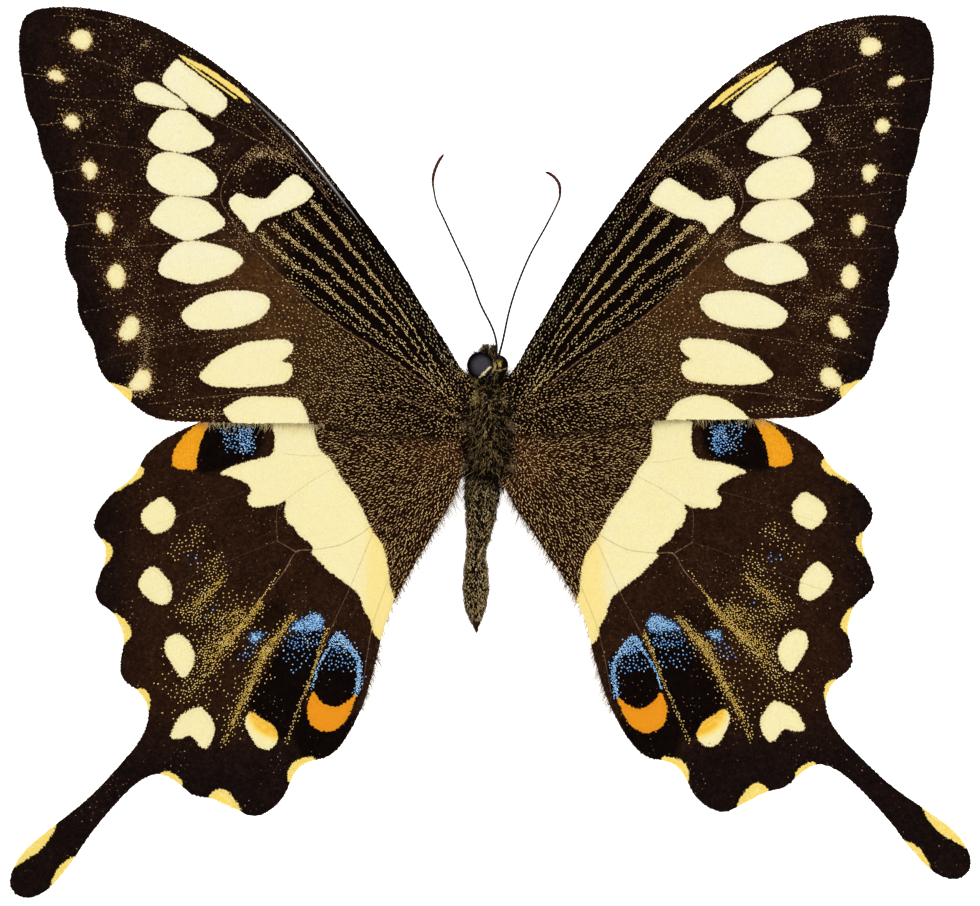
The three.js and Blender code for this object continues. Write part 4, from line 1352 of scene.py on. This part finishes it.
def make_abdomen(look):
    """Segmented abdomen under short combed fur."""
    rng = np.random.default_rng(12)
    stations = smooth_path(ABDOMEN_STATIONS, 8)
    count = len(stations)
    segments, sides = 9, 32
    ring = 0.04 * np.cos(np.linspace(0, segments * 2 * math.pi, count))
    stations[:, 3] = np.maximum(stations[:, 3] * (0.97 + ring) - 0.06, 0.05)
    turn = np.arange(sides) * 2 * math.pi / sides

    def skin(row, a):
        x, y, z, r = row.T
        return np.stack([x + r * np.sin(a), y + 0 * a, np.maximum(z - r * np.cos(a), 0.0)], -1)

    rings = np.stack([skin(np.tile(s, (sides, 1)), turn) for s in stations])
    heap = Heap()
    heap.add(rings.reshape(-1, 3), grid_faces(count, sides, closed=True), np.array(look.skin))
    for end, order in ((0, -1), (count - 1, 1)):
        cap = np.vstack([rings[end], stations[end, :3]])
        heap.add(cap, fan_faces(sides)[:, ::order], np.array(look.skin))
    hairs = look.abdomen_hairs
    place_along = rng.uniform(0, count - 1.001, hairs)
    i = place_along.astype(int)
    f = (place_along - i)[:, None]
    rows = stations[i] * (1 - f) + stations[i + 1] * f
    a = rng.uniform(-math.pi, math.pi, hairs)
    points = skin(rows, a)
    normals = np.stack([np.sin(a), np.zeros(hairs), -np.cos(a)], 1)
    keep = (points[:, 2] > 0.2) & (rng.random(hairs) < 0.3 + 0.7 * rows[:, 3] / rows[:, 3].max())
    points, normals, rows = points[keep], normals[keep], rows[keep]
    hairs = len(points)
    y, radius = points[:, 1], rows[:, 3]
    aside = np.abs(points[:, 0] - rows[:, 0])
    lean = np.tile((0.0, -1.0, 0.0), (hairs, 1))
    tones = tufted(points, rng, look, 0.07)
    ridge = (aside < 0.1) & (y < -7.5) & (y > -13.5)
    tones[ridge] *= 0.5
    tip = y < -19.0 + 0.25 * rng.normal(size=hairs)
    tones[tip] = mix_of(rng, tip.sum(), look.skin, look.tail, look.tail)
    flank = (aside > 0.93 * radius) & (y < -10.5) & (y > -15)
    tones[flank] = mix_of(rng, flank.sum(), look.fur, look.fur_tip, look.pale_fur)
    # Painted shade: hairs are drawn darker towards the abdomen's flanks, where its sides turn away from the
    # light
    tones *= (1 - 0.6 * ease((aside / radius - 0.75) / 0.25))[:, None]
    lengths = look.abdomen_fur_length / MM * (0.6 + 0.8 * rng.random(hairs))
    lengths *= 1.0 + 0.7 * ease((y + 9) / 4)
    lengths *= np.clip(radius / 0.8, 0.4, 1)
    add_fur(heap, points, normals, lengths, lean, look.fur_width / MM, tones, rng, lift=0.15)
    pick = np.flatnonzero(~ridge & ~tip)
    pick = pick[rng.permutation(len(pick))[: look.abdomen_curls]]
    tints = (look.fur, look.fur_tip, look.fur_tip, look.pale_fur)
    tones = mix_of(rng, len(pick), *tints)
    rear = y[pick] < -12 + rng.normal(size=len(pick))
    tones[rear] = mix_of(rng, rear.sum(), *tints)
    # Painted light and shade: curls are drawn lighter along the top of the abdomen and darker down its
    # flanks
    tones *= (1.15 - 0.5 * ease((aside[pick] / radius[pick] - 0.6) / 0.4))[:, None]
    lengths = 0.13 + 0.14 * rng.random(len(pick))
    add_curls(heap, points[pick], normals[pick], lean[pick], lengths, look.curl_width / MM, tones, rng)
    place(heap.build("abdomen_furred", [fur_material()]), "abdomen", "body_fur")


def in_head(points):
    """Points of the head, rolled so that its left eye turns up and put in place."""
    points = np.asarray(points, float)
    c, s = math.cos(HEAD_ROLL), math.sin(HEAD_ROLL)
    x, y, z = points[..., 0], points[..., 1], points[..., 2]
    return np.stack([c * x + s * z, y, -s * x + c * z], -1) + np.array(HEAD_CENTRE)


def ball(rows, columns):
    """Unit ball as rings from pole to pole along +X, with its faces."""
    polar = np.linspace(1e-3, math.pi - 1e-3, rows)[:, None]
    turn = (np.arange(columns) * 2 * math.pi / columns)[None, :]
    ring = np.sin(polar)
    points = np.stack([np.cos(polar) + 0 * turn, ring * np.cos(turn), ring * np.sin(turn)], -1)
    return points.reshape(-1, 3), grid_faces(rows, columns, closed=True)


def head_top(x, y):
    """Height of the head or an eye, whichever is higher, over points in millimetres."""
    c, s = math.cos(HEAD_ROLL), math.sin(HEAD_ROLL)
    wide, deep, tall = HEAD_HALF_SIZE
    u, v = x - HEAD_CENTRE[0], y - HEAD_CENTRE[1]
    first = s * s / wide**2 + c * c / tall**2
    second = 2 * u * c * s * (1 / tall**2 - 1 / wide**2)
    third = u * u * (c * c / wide**2 + s * s / tall**2) + (v / deep) ** 2 - 1
    top = HEAD_CENTRE[2] + (np.sqrt(np.maximum(second**2 - 4 * first * third, 0)) - second) / (2 * first)
    for middle, radius, _ in EYES.values():
        ex, ey, ez = in_head(middle)
        room = radius**2 - (x - ex) ** 2 - (y - ey) ** 2
        top = np.where(room > 0, np.maximum(top, ez + np.sqrt(np.maximum(room, 0))), top)
    return top


def add_streak(heap, text, reach, tint, count, look, rng):
    """A streak of pale scales on the head, along a path on the drawing sheet."""
    path = smooth_path(points_of(text))
    place_along = rng.random(count) * (len(path) - 1.001)
    i = place_along.astype(int)
    ahead = path[i + 1] - path[i]
    flat = path[i] + ahead * (place_along - i)[:, None] + reach * rng.uniform(-1, 1, (count, 2))
    x, y = from_sheet(*flat.T)
    ahead = ahead * np.array([1, -1])
    ways = np.column_stack([ahead / np.hypot(*ahead.T)[:, None], np.zeros(count)])
    ways = unit(ways + 0.25 * rng.normal(size=(count, 3)))
    lengths = 0.15 + 0.15 * rng.random(count)
    roots = np.column_stack([x, y, head_top(x, y) + 0.12])
    tones = tint * (0.7 + 0.5 * rng.random((count, 1)))
    add_strands(heap, roots, ways, lengths, look.fur_width / MM, np.zeros((count, 3)), tones, tones, rng)


def make_head(look):
    """Furred head with pale scales round the eyes."""
    rng = np.random.default_rng(13)
    heap = Heap()
    round_skin, faces = ball(28, 36)
    skin = round_skin * np.array(HEAD_HALF_SIZE) * 0.98
    for middle, radius, _ in EYES.values():
        away = skin - middle
        far = np.linalg.norm(away, axis=1)
        sunk = far < radius - 0.05
        skin[sunk] = middle + away[sunk] / far[sunk][:, None] * (radius - 0.06) * 0.97
    heap.add(in_head(skin), faces, np.array(look.skin))
    count = look.head_hairs
    normals = unit(rng.normal(size=(count, 3)))
    points = normals * np.array(HEAD_HALF_SIZE)
    gaps = [np.linalg.norm(points - place, axis=1) - radius - bare for place, radius, bare in EYES.values()]
    off_eye = np.min(gaps, 0)
    clear = off_eye > 0
    points, normals, rim = points[clear], normals[clear], off_eye[clear] < 0.15
    count = len(points)
    tones = mix_of(rng, count, look.skin, look.fur, look.fur, look.fur, look.fur, look.fur_tip)
    pale = rim & (points[:, 2] > 0.1) & (points[:, 1] < 0.2)
    tones[pale] = mix_of(rng, pale.sum(), look.collar, look.pale_fur)
    turned = in_head(normals) - np.array(HEAD_CENTRE)
    lean = np.tile((0.0, 0.35, 0.0), (count, 1))
    lengths = look.head_fur_length / MM * (0.5 + 0.7 * rng.random(count))
    lengths[pale] *= 0.55
    add_fur(heap, in_head(points), turned, lengths, lean, look.fur_width / MM, tones, rng)
    for text, reach, tint, hairs in HEAD_STREAKS:
        add_streak(heap, text, reach, np.array(getattr(look, tint)), hairs, look, rng)
    place(heap.build("head_furred", [fur_material()]), "head", "body_fur")
    for side, label in ((-1, "left"), (1, "right")):
        make_eye(side, label, look)
        make_palp(side, label, look)
    make_proboscis(look)


def make_eye(side, label, look):
    """Compound eye: a dried, dull dome of fine facets, its top painted lighter as a sheen and its edges
    painted darker as shade.
    """
    dome, faces = ball(40, 56)
    heap = Heap()
    middle, radius, _ = EYES[side]
    turned = in_head(dome) - np.array(HEAD_CENTRE)
    # Painted sheen and shade: the side of the dome that faces up takes the lighter top colour, the rest
    # fades to the dark edge colour
    toward_light = np.array([0.1, -0.12, 0.99])
    share = ease((turned @ toward_light - 0.45) / 0.5)[:, None]
    tones = blend(np.array(look.eye_edge_shade), look.eye if side < 0 else look.far_eye, share)
    heap.add(in_head(middle + dome * radius), faces, tones)
    name = "Compound eye, dried faceted cornea"
    if name not in bpy.data.materials:
        # Thousands of tiny lenses about 0.03 mm across, dulled by drying: no sparkle and no specular; the
        # broad grey shine is a painted sheen in the eye's tone, lighter on top.
        # The facets are too fine to show, so the relief is drawn at 0.07 mm.
        toned_material(name, 0.3, 0.25, 0.07, 0.25, Roughness=0.45, Specular_IOR_Level=0.0)
    place(heap.build(f"eye_{label}_faceted", [bpy.data.materials[name]]), f"eye_{label}", "eye_cuticle")


def make_palp(side, label, look):
    """Palp: a short stalk hidden in a brush of bristles."""
    rng = np.random.default_rng(20 + side)
    low, high = HEAD_HALF_SIZE[1] - 0.3, HEAD_HALF_SIZE[1] + 0.5
    path = np.stack([np.full(8, side * 0.55), np.linspace(low, high, 8), np.linspace(0.2, 0.32, 8)], 1)
    radii = 0.3 * np.sin(np.linspace(0.6, 2.9, 8))
    heap = Heap()
    add_tube(heap, in_head(path), radii, np.array(look.skin), 10)
    count = look.palp_hairs
    share = rng.random(count)
    centre = np.stack([np.interp(share, np.linspace(0, 1, 8), path[:, k]) for k in range(3)], 1)
    normals = rng.normal(size=(count, 3))
    normals[:, 1] *= 0.3
    normals = unit(normals)
    points = in_head(centre + normals * 0.26)
    turned = in_head(normals) - np.array(HEAD_CENTRE)
    lean = np.tile((0.0, 0.7, 0.1), (count, 1))
    tones = mix_of(rng, count, look.skin, look.fur, look.fur_tip)
    lengths = 0.6 * look.head_fur_length / MM * (0.5 + 0.6 * rng.random(count))
    add_fur(heap, points, turned, lengths, lean, look.fur_width / MM, tones, rng)
    place(heap.build(f"palp_{label}_bristled", [fur_material()]), f"palp_{label}", "body_fur")


def make_proboscis(look):
    """Tongue coiled like a watch spring under the head."""
    steps, turns = 110, 2
    share = np.linspace(0, 1, steps)
    angle = math.pi / 2 + share * turns * 2 * math.pi
    radius = 0.85 * (1 - 0.7 * share)
    y, z = HEAD_CENTRE[1] + 0.55 + radius * np.cos(angle), 1.15 + radius * np.sin(angle)
    path = np.stack([0 * share + HEAD_CENTRE[0], y, z], 1)
    ringed = 0.1 * (1 - 0.35 * share) * (1 + 0.06 * np.cos(share * steps * math.pi / 2))
    heap = Heap()
    tone = np.array(look.skin) * (1 + 0.5 * (np.arange(steps) % 4 == 0))[:, None]
    add_tube(heap, path, ringed, tone, 10)
    place(heap.build("proboscis_coiled", [cuticle_material()]), "proboscis", "limb_cuticle")


def make_antenna(label, look):
    """Antenna: a ringed stalk that thickens to a hooked reddish club."""
    path = smooth_path(ANTENNA_PATHS[label], 12)
    gone = np.concatenate([[0], np.cumsum(np.linalg.norm(np.diff(path, axis=0), axis=1))])
    places = np.linspace(0, gone[-1], 260)
    path = np.stack([np.interp(places, gone, path[:, k]) for k in range(3)], 1)
    share = places / gone[-1]
    club = ease((share - 0.8) / 0.1) * (1 - ease((share - 0.97) / 0.035))
    radii = look.shaft_radius / MM * (1 - 0.15 * share) + (look.club_radius - look.shaft_radius) / MM * club
    ring = np.cos(places * MM / look.segment_length * 2 * math.pi)
    radii *= 1 + 0.1 * ring
    radii[-3:] *= (0.85, 0.6, 0.25)
    tone = blend(np.array(look.shaft), look.club, club[:, None])
    tone = tone * (1 - 0.35 * np.maximum(0, -ring))[:, None]
    knuckle = ((ring > 0.75) & (share > 0.74) & (share < 0.86))[:, None]
    tone = np.where(knuckle, blend(tone, look.knuckle, 0.45), tone)
    heap = Heap()
    add_tube(heap, path, radii, tone, 10)
    place(heap.build(f"antenna_{label}_ringed", [cuticle_material()]), f"antenna_{label}", "limb_cuticle")


def make_leg(name, side, label, look):
    """Leg: tapering thigh and shin with spurs, and a foot of small joints."""
    rng = np.random.default_rng(sum(map(ord, name + label)))
    hip, knee, ankle, foot = (np.array(p) * np.array([-side, 1, 1]) for p in LEG_PATHS[name])
    heap = Heap()
    parts = ((hip, knee, 0.33, 0.2, 14), (knee, ankle, 0.2, 0.15, 14), (ankle, foot, 0.14, 0.1, 21))
    for start, end, thick, thin, steps in parts:
        share = np.linspace(0, 1, steps)[:, None]
        path = start + (end - start) * share
        radii = (thick + (thin - thick) * share[:, 0]) * (1 + 0.12 * np.sin(share[:, 0] * math.pi))
        if end is foot:
            radii *= 1 + 0.16 * np.cos(share[:, 0] * 5 * 2 * math.pi)
        path[:, 2] = np.maximum(path[:, 2], radii + 0.005)
        add_tube(heap, path, radii, np.array(look.cuticle) * (0.8 + 0.4 * share), 10)
        count = look.leg_hairs
        pick = rng.integers(1, steps - 1, count)
        normals = unit(rng.normal(size=(count, 3)))
        lean = np.tile((end - start) / np.linalg.norm(end - start), (count, 1))
        tones = mix_of(rng, count, look.cuticle, look.leg_hair)
        roots = path[pick] + normals * radii[pick][:, None]
        add_fur(heap, roots, normals, 0.18 + 0.2 * rng.random(count), lean, 0.045, tones, rng)
    place(heap.build(f"{name}_{label}_spurred", [cuticle_material()]), f"{name}_{label}", "limb_cuticle")


# What a user can change


class WingLook(bpy.types.PropertyGroup):
    """Sizes and colours of the wings"""

    scale_count: number("Scales", 50000, "Tiled scales on each wing, away from the markings' edges")
    edge_scale_pitch: size("Edge scale pitch", 0.066, "Spacing of small scales at markings' edges", 0.03, 1)
    edge_reach: size("Edge reach", 0.13, "How far from a marking's edge the small scales reach", 0, 1)
    front_vein_radius: size("Front vein radius", 0.26, "Half the width of the bare front vein", 0.05, 0.5)
    root_hairs: number("Root hairs", 350, "Long hairs over each wing's root")
    membrane_step: size("Membrane step", 0.55, "Spacing of the membrane's points", 0.2, 3)
    membrane_thickness: size("Membrane thickness", 0.1, "Thickness of the wing's skin", 0.02, 0.3)
    rim_step: size("Rim step", 0.4, "Spacing of points along a wing's edge", 0.1, 2)
    fringe_step: size("Fringe step", 0.09, "Spacing of the fringe's scales", 0.03, 1)
    vein_width: size("Vein width", 0.11, "Width of the veins halfway out", 0.05, 1)
    dust_spacing: size("Dust spacing", 0.14, "Closest spacing of the loose gold and blue scales", 0.1, 1)
    dust_length: size("Dust length", 0.135, "Length of a loose scale", 0.05, 1)
    dust_width: size("Dust width", 0.09, "Width of a loose scale", 0.03, 1)
    margin: colour("Margin", "#160C09", "Ground colour along the outer edges")
    dark: colour("Dark brown", "#28150A", "Ground colour of the outer wing")
    black: colour("Black", "#0B0402", "Forewing cell, wing roots and the eye spots")
    brown: colour("Brown", "#472D15", "Ground colour towards the body")
    fleck: colour("Fleck", "#7A5C42", "Stray lighter scales")
    pale_fleck: colour("Pale fleck", "#C2A584", "Lightest stray scales")
    cream: colour("Cream", "#F9F2CB", "Spots and band")
    warm_cream: colour("Warm cream", "#FAEEB4", "Yellower clouds in the cream")
    rim: colour("Rim", "#C99B4A", "Edges of the cream markings")
    yellow: colour("Yellow", "#FEDF6C", "Fringe patches and the front streak")
    orange: colour("Orange", "#EE971C", "Eye crescent and front spot")
    tawny: colour("Tawny", "#F0981E", "Deeper orange of the eye crescent")
    honey: colour("Honey", "#F9BF38", "Golden blush of a hindwing spot")
    amber: colour("Amber", "#F6AF22", "Brighter orange scales")
    gold: colour("Gold", "#EAC058", "Loose gold scales of the outer hindwing")
    old_gold: colour("Old gold", "#A27C2F", "Darker loose scales of the outer hindwing")
    dust: colour("Dust", "#E6C07C", "Loose gold scales in rows down the forewing")
    base_dust: colour("Base dust", "#CDA66C", "Duller loose scales towards the body")
    russet: colour("Russet", "#2A1307", "Red-brown ground of the hindwing's base")
    pale_gold: colour("Pale gold", "#F0D794", "Lightest loose scales")
    grey_gold: colour("Grey gold", "#A59C78", "Loose scales behind the front edge")
    blue: colour("Blue", "#72B4FC", "Loose blue scales")
    pale_blue: colour("Pale blue", "#C6EBFF", "Lightest blue scales")
    vein: colour("Vein", "#8A6244", "Veins over dark ground")
    cream_vein: colour("Vein on cream", "#9E8044", "Veins over cream")
    underside: colour("Underside", "#B08A55", "Paler scales below")


class BodyLook(bpy.types.PropertyGroup):
    """Sizes and colours of the body and head"""

    thorax_hairs: number("Thorax hairs", 20000, "Hairs on the thorax")
    abdomen_hairs: number("Abdomen hairs", 20000, "Hairs on the abdomen")
    head_hairs: number("Head hairs", 4200, "Hairs on the head")
    thorax_curls: number("Thorax curls", 2500, "Light flat hairs on the thorax")
    abdomen_curls: number("Abdomen curls", 3300, "Light flat hairs on the abdomen")
    curl_width: size("Curl width", 0.066, "Width of a light flat hair", 0.02, 0.5)
    palp_hairs: number("Palp hairs", 500, "Hairs on each palp")
    tuft_size: size("Tuft size", 0.13, "Width of the fur's golden tufts", 0.05, 2)
    fur_length: size("Fur length", 0.65, "Longest hair on the thorax", 0.1, 4)
    abdomen_fur_length: size("Abdomen fur length", 0.36, "Longest hair on the abdomen", 0.1, 4)
    head_fur_length: size("Head fur length", 0.5, "Longest hair on the head", 0.1, 4)
    fur_width: size("Hair width", 0.06, "Width of a hair at its root", 0.01, 0.5)
    skin: colour("Skin", "#0A0502", "Dark skin under the fur")
    tail: colour("Abdomen tip", "#4A2A19", "Red-brown fur at the abdomen's tip")
    fur: colour("Fur", "#181007", "Most of the fur")
    fur_tip: colour("Fur tips", "#CBAA6E", "Light tips of the fur")
    pale_fur: colour("Pale fur", "#F3E4B2", "Lightest hairs, on the abdomen and by the eyes")
    gilt: colour("Gilt", "#F8D648", "Yellow fleck beside the right eye")
    collar: colour("Collar", "#B7AB68", "Yellow-green tufts behind the head")
    # The eyes' top colours are a painted sheen on the upper side of each dome; the edge colour is painted
    # shade round them
    eye: colour("Eye", "#3F3C42", "Top of the left eye")
    far_eye: colour("Far eye", "#120B06", "Top of the right eye")
    eye_edge_shade: colour("Eye edge", "#0B0A0E", "Edges of the eyes")


class LimbLook(bpy.types.PropertyGroup):
    """Sizes and colours of antennae and legs"""

    shaft_radius: size("Stalk radius", 0.12, "Radius of the antenna's stalk", 0.02, 0.3)
    club_radius: size("Club radius", 0.19, "Radius of the antenna's club", 0.05, 0.5)
    segment_length: size("Segment length", 0.42, "Length of an antenna's rings", 0.1, 2)
    leg_hairs: number("Leg hairs", 60, "Hairs on each part of a leg")
    shaft: colour("Stalk", "#1C0E0B", "Antenna's stalk")
    club: colour("Club", "#4A1C10", "Antenna's club")
    knuckle: colour("Knuckle", "#B9A48C", "Pale rings below the club")
    cuticle: colour("Cuticle", "#21150E", "Legs")
    leg_hair: colour("Leg hair", "#6B5636", "Hairs on the legs")


class StageLook(bpy.types.PropertyGroup):
    """The surface, lights and camera"""

    floor: colour("Floor", "#F6F6F5", "Plain pale surface")
    floor_glow: amount("Floor glow", 1.0, "Light that the surface lets through from below", 0, 2)
    sky: amount("Sky", 0.66, "Brightness of the light from all round", 0, 5)
    key: amount("Key", 1.1, "Power of the large soft light", 0, 100, "POWER")
    glint: amount("Glint", 0.8, "Power of the small bright light", 0, 100, "POWER")
    lens: amount("Lens", 300.0, "Focal length in millimetres", 20, 2000, "CAMERA")
    picture_width: size("Picture width", 98.0, "Width that the camera sees at wing height", 10, 500)


# Operators


class SPECIMEN_OT_wings(bpy.types.Operator):
    """Makes the forewings and hindwings"""

    bl_idname = "specimen.wings"
    bl_label = "Wings"

    def execute(self, context):
        for kind in ("hindwing", "forewing"):
            for side in (-1, 1):
                make_wing(kind, side, context.scene.specimen_wings)
        return {"FINISHED"}


class SPECIMEN_OT_body(bpy.types.Operator):
    """Makes the furred thorax and abdomen"""

    bl_idname = "specimen.body"
    bl_label = "Thorax and abdomen"

    def execute(self, context):
        make_thorax(context.scene.specimen_body)
        make_abdomen(context.scene.specimen_body)
        return {"FINISHED"}


class SPECIMEN_OT_head(bpy.types.Operator):
    """Makes the head with its eyes, palps and coiled tongue"""

    bl_idname = "specimen.head"
    bl_label = "Head"

    def execute(self, context):
        make_head(context.scene.specimen_body)
        return {"FINISHED"}


class SPECIMEN_OT_antennae(bpy.types.Operator):
    """Makes the antennae"""

    bl_idname = "specimen.antennae"
    bl_label = "Antennae"

    def execute(self, context):
        for label in ANTENNA_PATHS:
            make_antenna(label, context.scene.specimen_limbs)
        return {"FINISHED"}


class SPECIMEN_OT_legs(bpy.types.Operator):
    """Makes the six legs"""

    bl_idname = "specimen.legs"
    bl_label = "Legs"

    def execute(self, context):
        for name in LEG_PATHS:
            for side, label in ((-1, "left"), (1, "right")):
                make_leg(name, side, label, context.scene.specimen_limbs)
        return {"FINISHED"}


# Middle of the picture at wing height, in millimetres, and the surface's radius in metres
PICTURE_MIDDLE = (0.2, -2.3, 6)
FLOOR_RADIUS = 4.0


class SPECIMEN_OT_stage(bpy.types.Operator):
    """Makes the surface, the lights and the camera"""

    bl_idname = "specimen.stage"
    bl_label = "Stage"

    def execute(self, context):
        look = context.scene.specimen_stage
        scene = context.scene
        bpy.ops.mesh.primitive_circle_add(
            vertices=96, radius=FLOOR_RADIUS, fill_type="NGON", location=(0, 0, 0)
        )
        floor = context.object
        floor.name = "floor"
        # Opal acrylic of a light table: matt white, lit evenly from below
        material = bpy.data.materials.new("Opal acrylic, matt light table")
        material.use_nodes = True
        surface = material.node_tree.nodes["Principled BSDF"]
        surface.inputs["Base Color"].default_value = (*look.floor, 1)
        surface.inputs["Roughness"].default_value = 0.9
        surface.inputs["Specular IOR Level"].default_value = 0.1
        surface.inputs["Emission Color"].default_value = (1, 1, 1, 1)
        surface.inputs["Emission Strength"].default_value = look.floor_glow
        floor.data.materials.append(material)

        world = bpy.data.worlds.new("Soft white room")
        world.use_nodes = True
        background = world.node_tree.nodes["Background"]
        background.inputs["Color"].default_value = (1, 1, 1, 1)
        background.inputs["Strength"].default_value = look.sky
        scene.world = world

        lamps = (
            ("key", (0.33, 0.31, 0.5), look.key, 0.35),
            ("fill", (-0.4, -0.2, 0.45), 0.55 * look.key, 0.35),
            ("glint", (0.343, 0.301, 0.498), look.glint, 0.04),
        )
        for name, at, power, across in lamps:
            lamp = bpy.data.lights.new(name, "AREA")
            lamp.energy = power
            lamp.shape = "DISK"
            lamp.size = across
            light = bpy.data.objects.new(name, lamp)
            light.location = at
            direction = -light.location
            light.rotation_mode = "QUATERNION"
            light.rotation_quaternion = direction.to_track_quat("-Z", "Y")
            scene.collection.objects.link(light)

        camera = bpy.data.objects.new("camera", bpy.data.cameras.new("camera"))
        camera.data.lens = look.lens
        distance = look.picture_width * look.lens / camera.data.sensor_width
        x, y, wing_height = PICTURE_MIDDLE
        camera.location = (x * MM, y * MM, wing_height * MM + distance)
        camera.data.clip_end = 20
        scene.collection.objects.link(camera)
        scene.camera = camera
        scene.view_settings.view_transform = "Standard"
        return {"FINISHED"}


class SPECIMEN_PT_panel(bpy.types.Panel):
    """Lists the specimen's pieces"""

    bl_label = "Butterfly specimen"
    bl_idname = "SPECIMEN_PT_panel"
    bl_space_type = "VIEW_3D"
    bl_region_type = "UI"
    bl_category = "Specimen"

    def draw(self, context):
        for operator in OPERATORS:
            self.layout.operator(operator.bl_idname)


LOOKS = {
    "specimen_wings": WingLook,
    "specimen_body": BodyLook,
    "specimen_limbs": LimbLook,
    "specimen_stage": StageLook,
}
OPERATORS = (
    SPECIMEN_OT_stage,
    SPECIMEN_OT_wings,
    SPECIMEN_OT_body,
    SPECIMEN_OT_head,
    SPECIMEN_OT_antennae,
    SPECIMEN_OT_legs,
)


def register():
    for cls in (*LOOKS.values(), *OPERATORS, SPECIMEN_PT_panel):
        bpy.utils.register_class(cls)
    for name, cls in LOOKS.items():
        setattr(bpy.types.Scene, name, bpy.props.PointerProperty(type=cls))


def unregister():
    for name in LOOKS:
        delattr(bpy.types.Scene, name)
    for cls in reversed((*LOOKS.values(), *OPERATORS, SPECIMEN_PT_panel)):
        bpy.utils.unregister_class(cls)


def main():
    register()
    bpy.ops.specimen.stage()
    bpy.ops.specimen.wings()
    bpy.ops.specimen.body()
    bpy.ops.specimen.head()
    bpy.ops.specimen.antennae()
    bpy.ops.specimen.legs()
    bpy.context.view_layer.update()


if __name__ == "__main__":
    main()
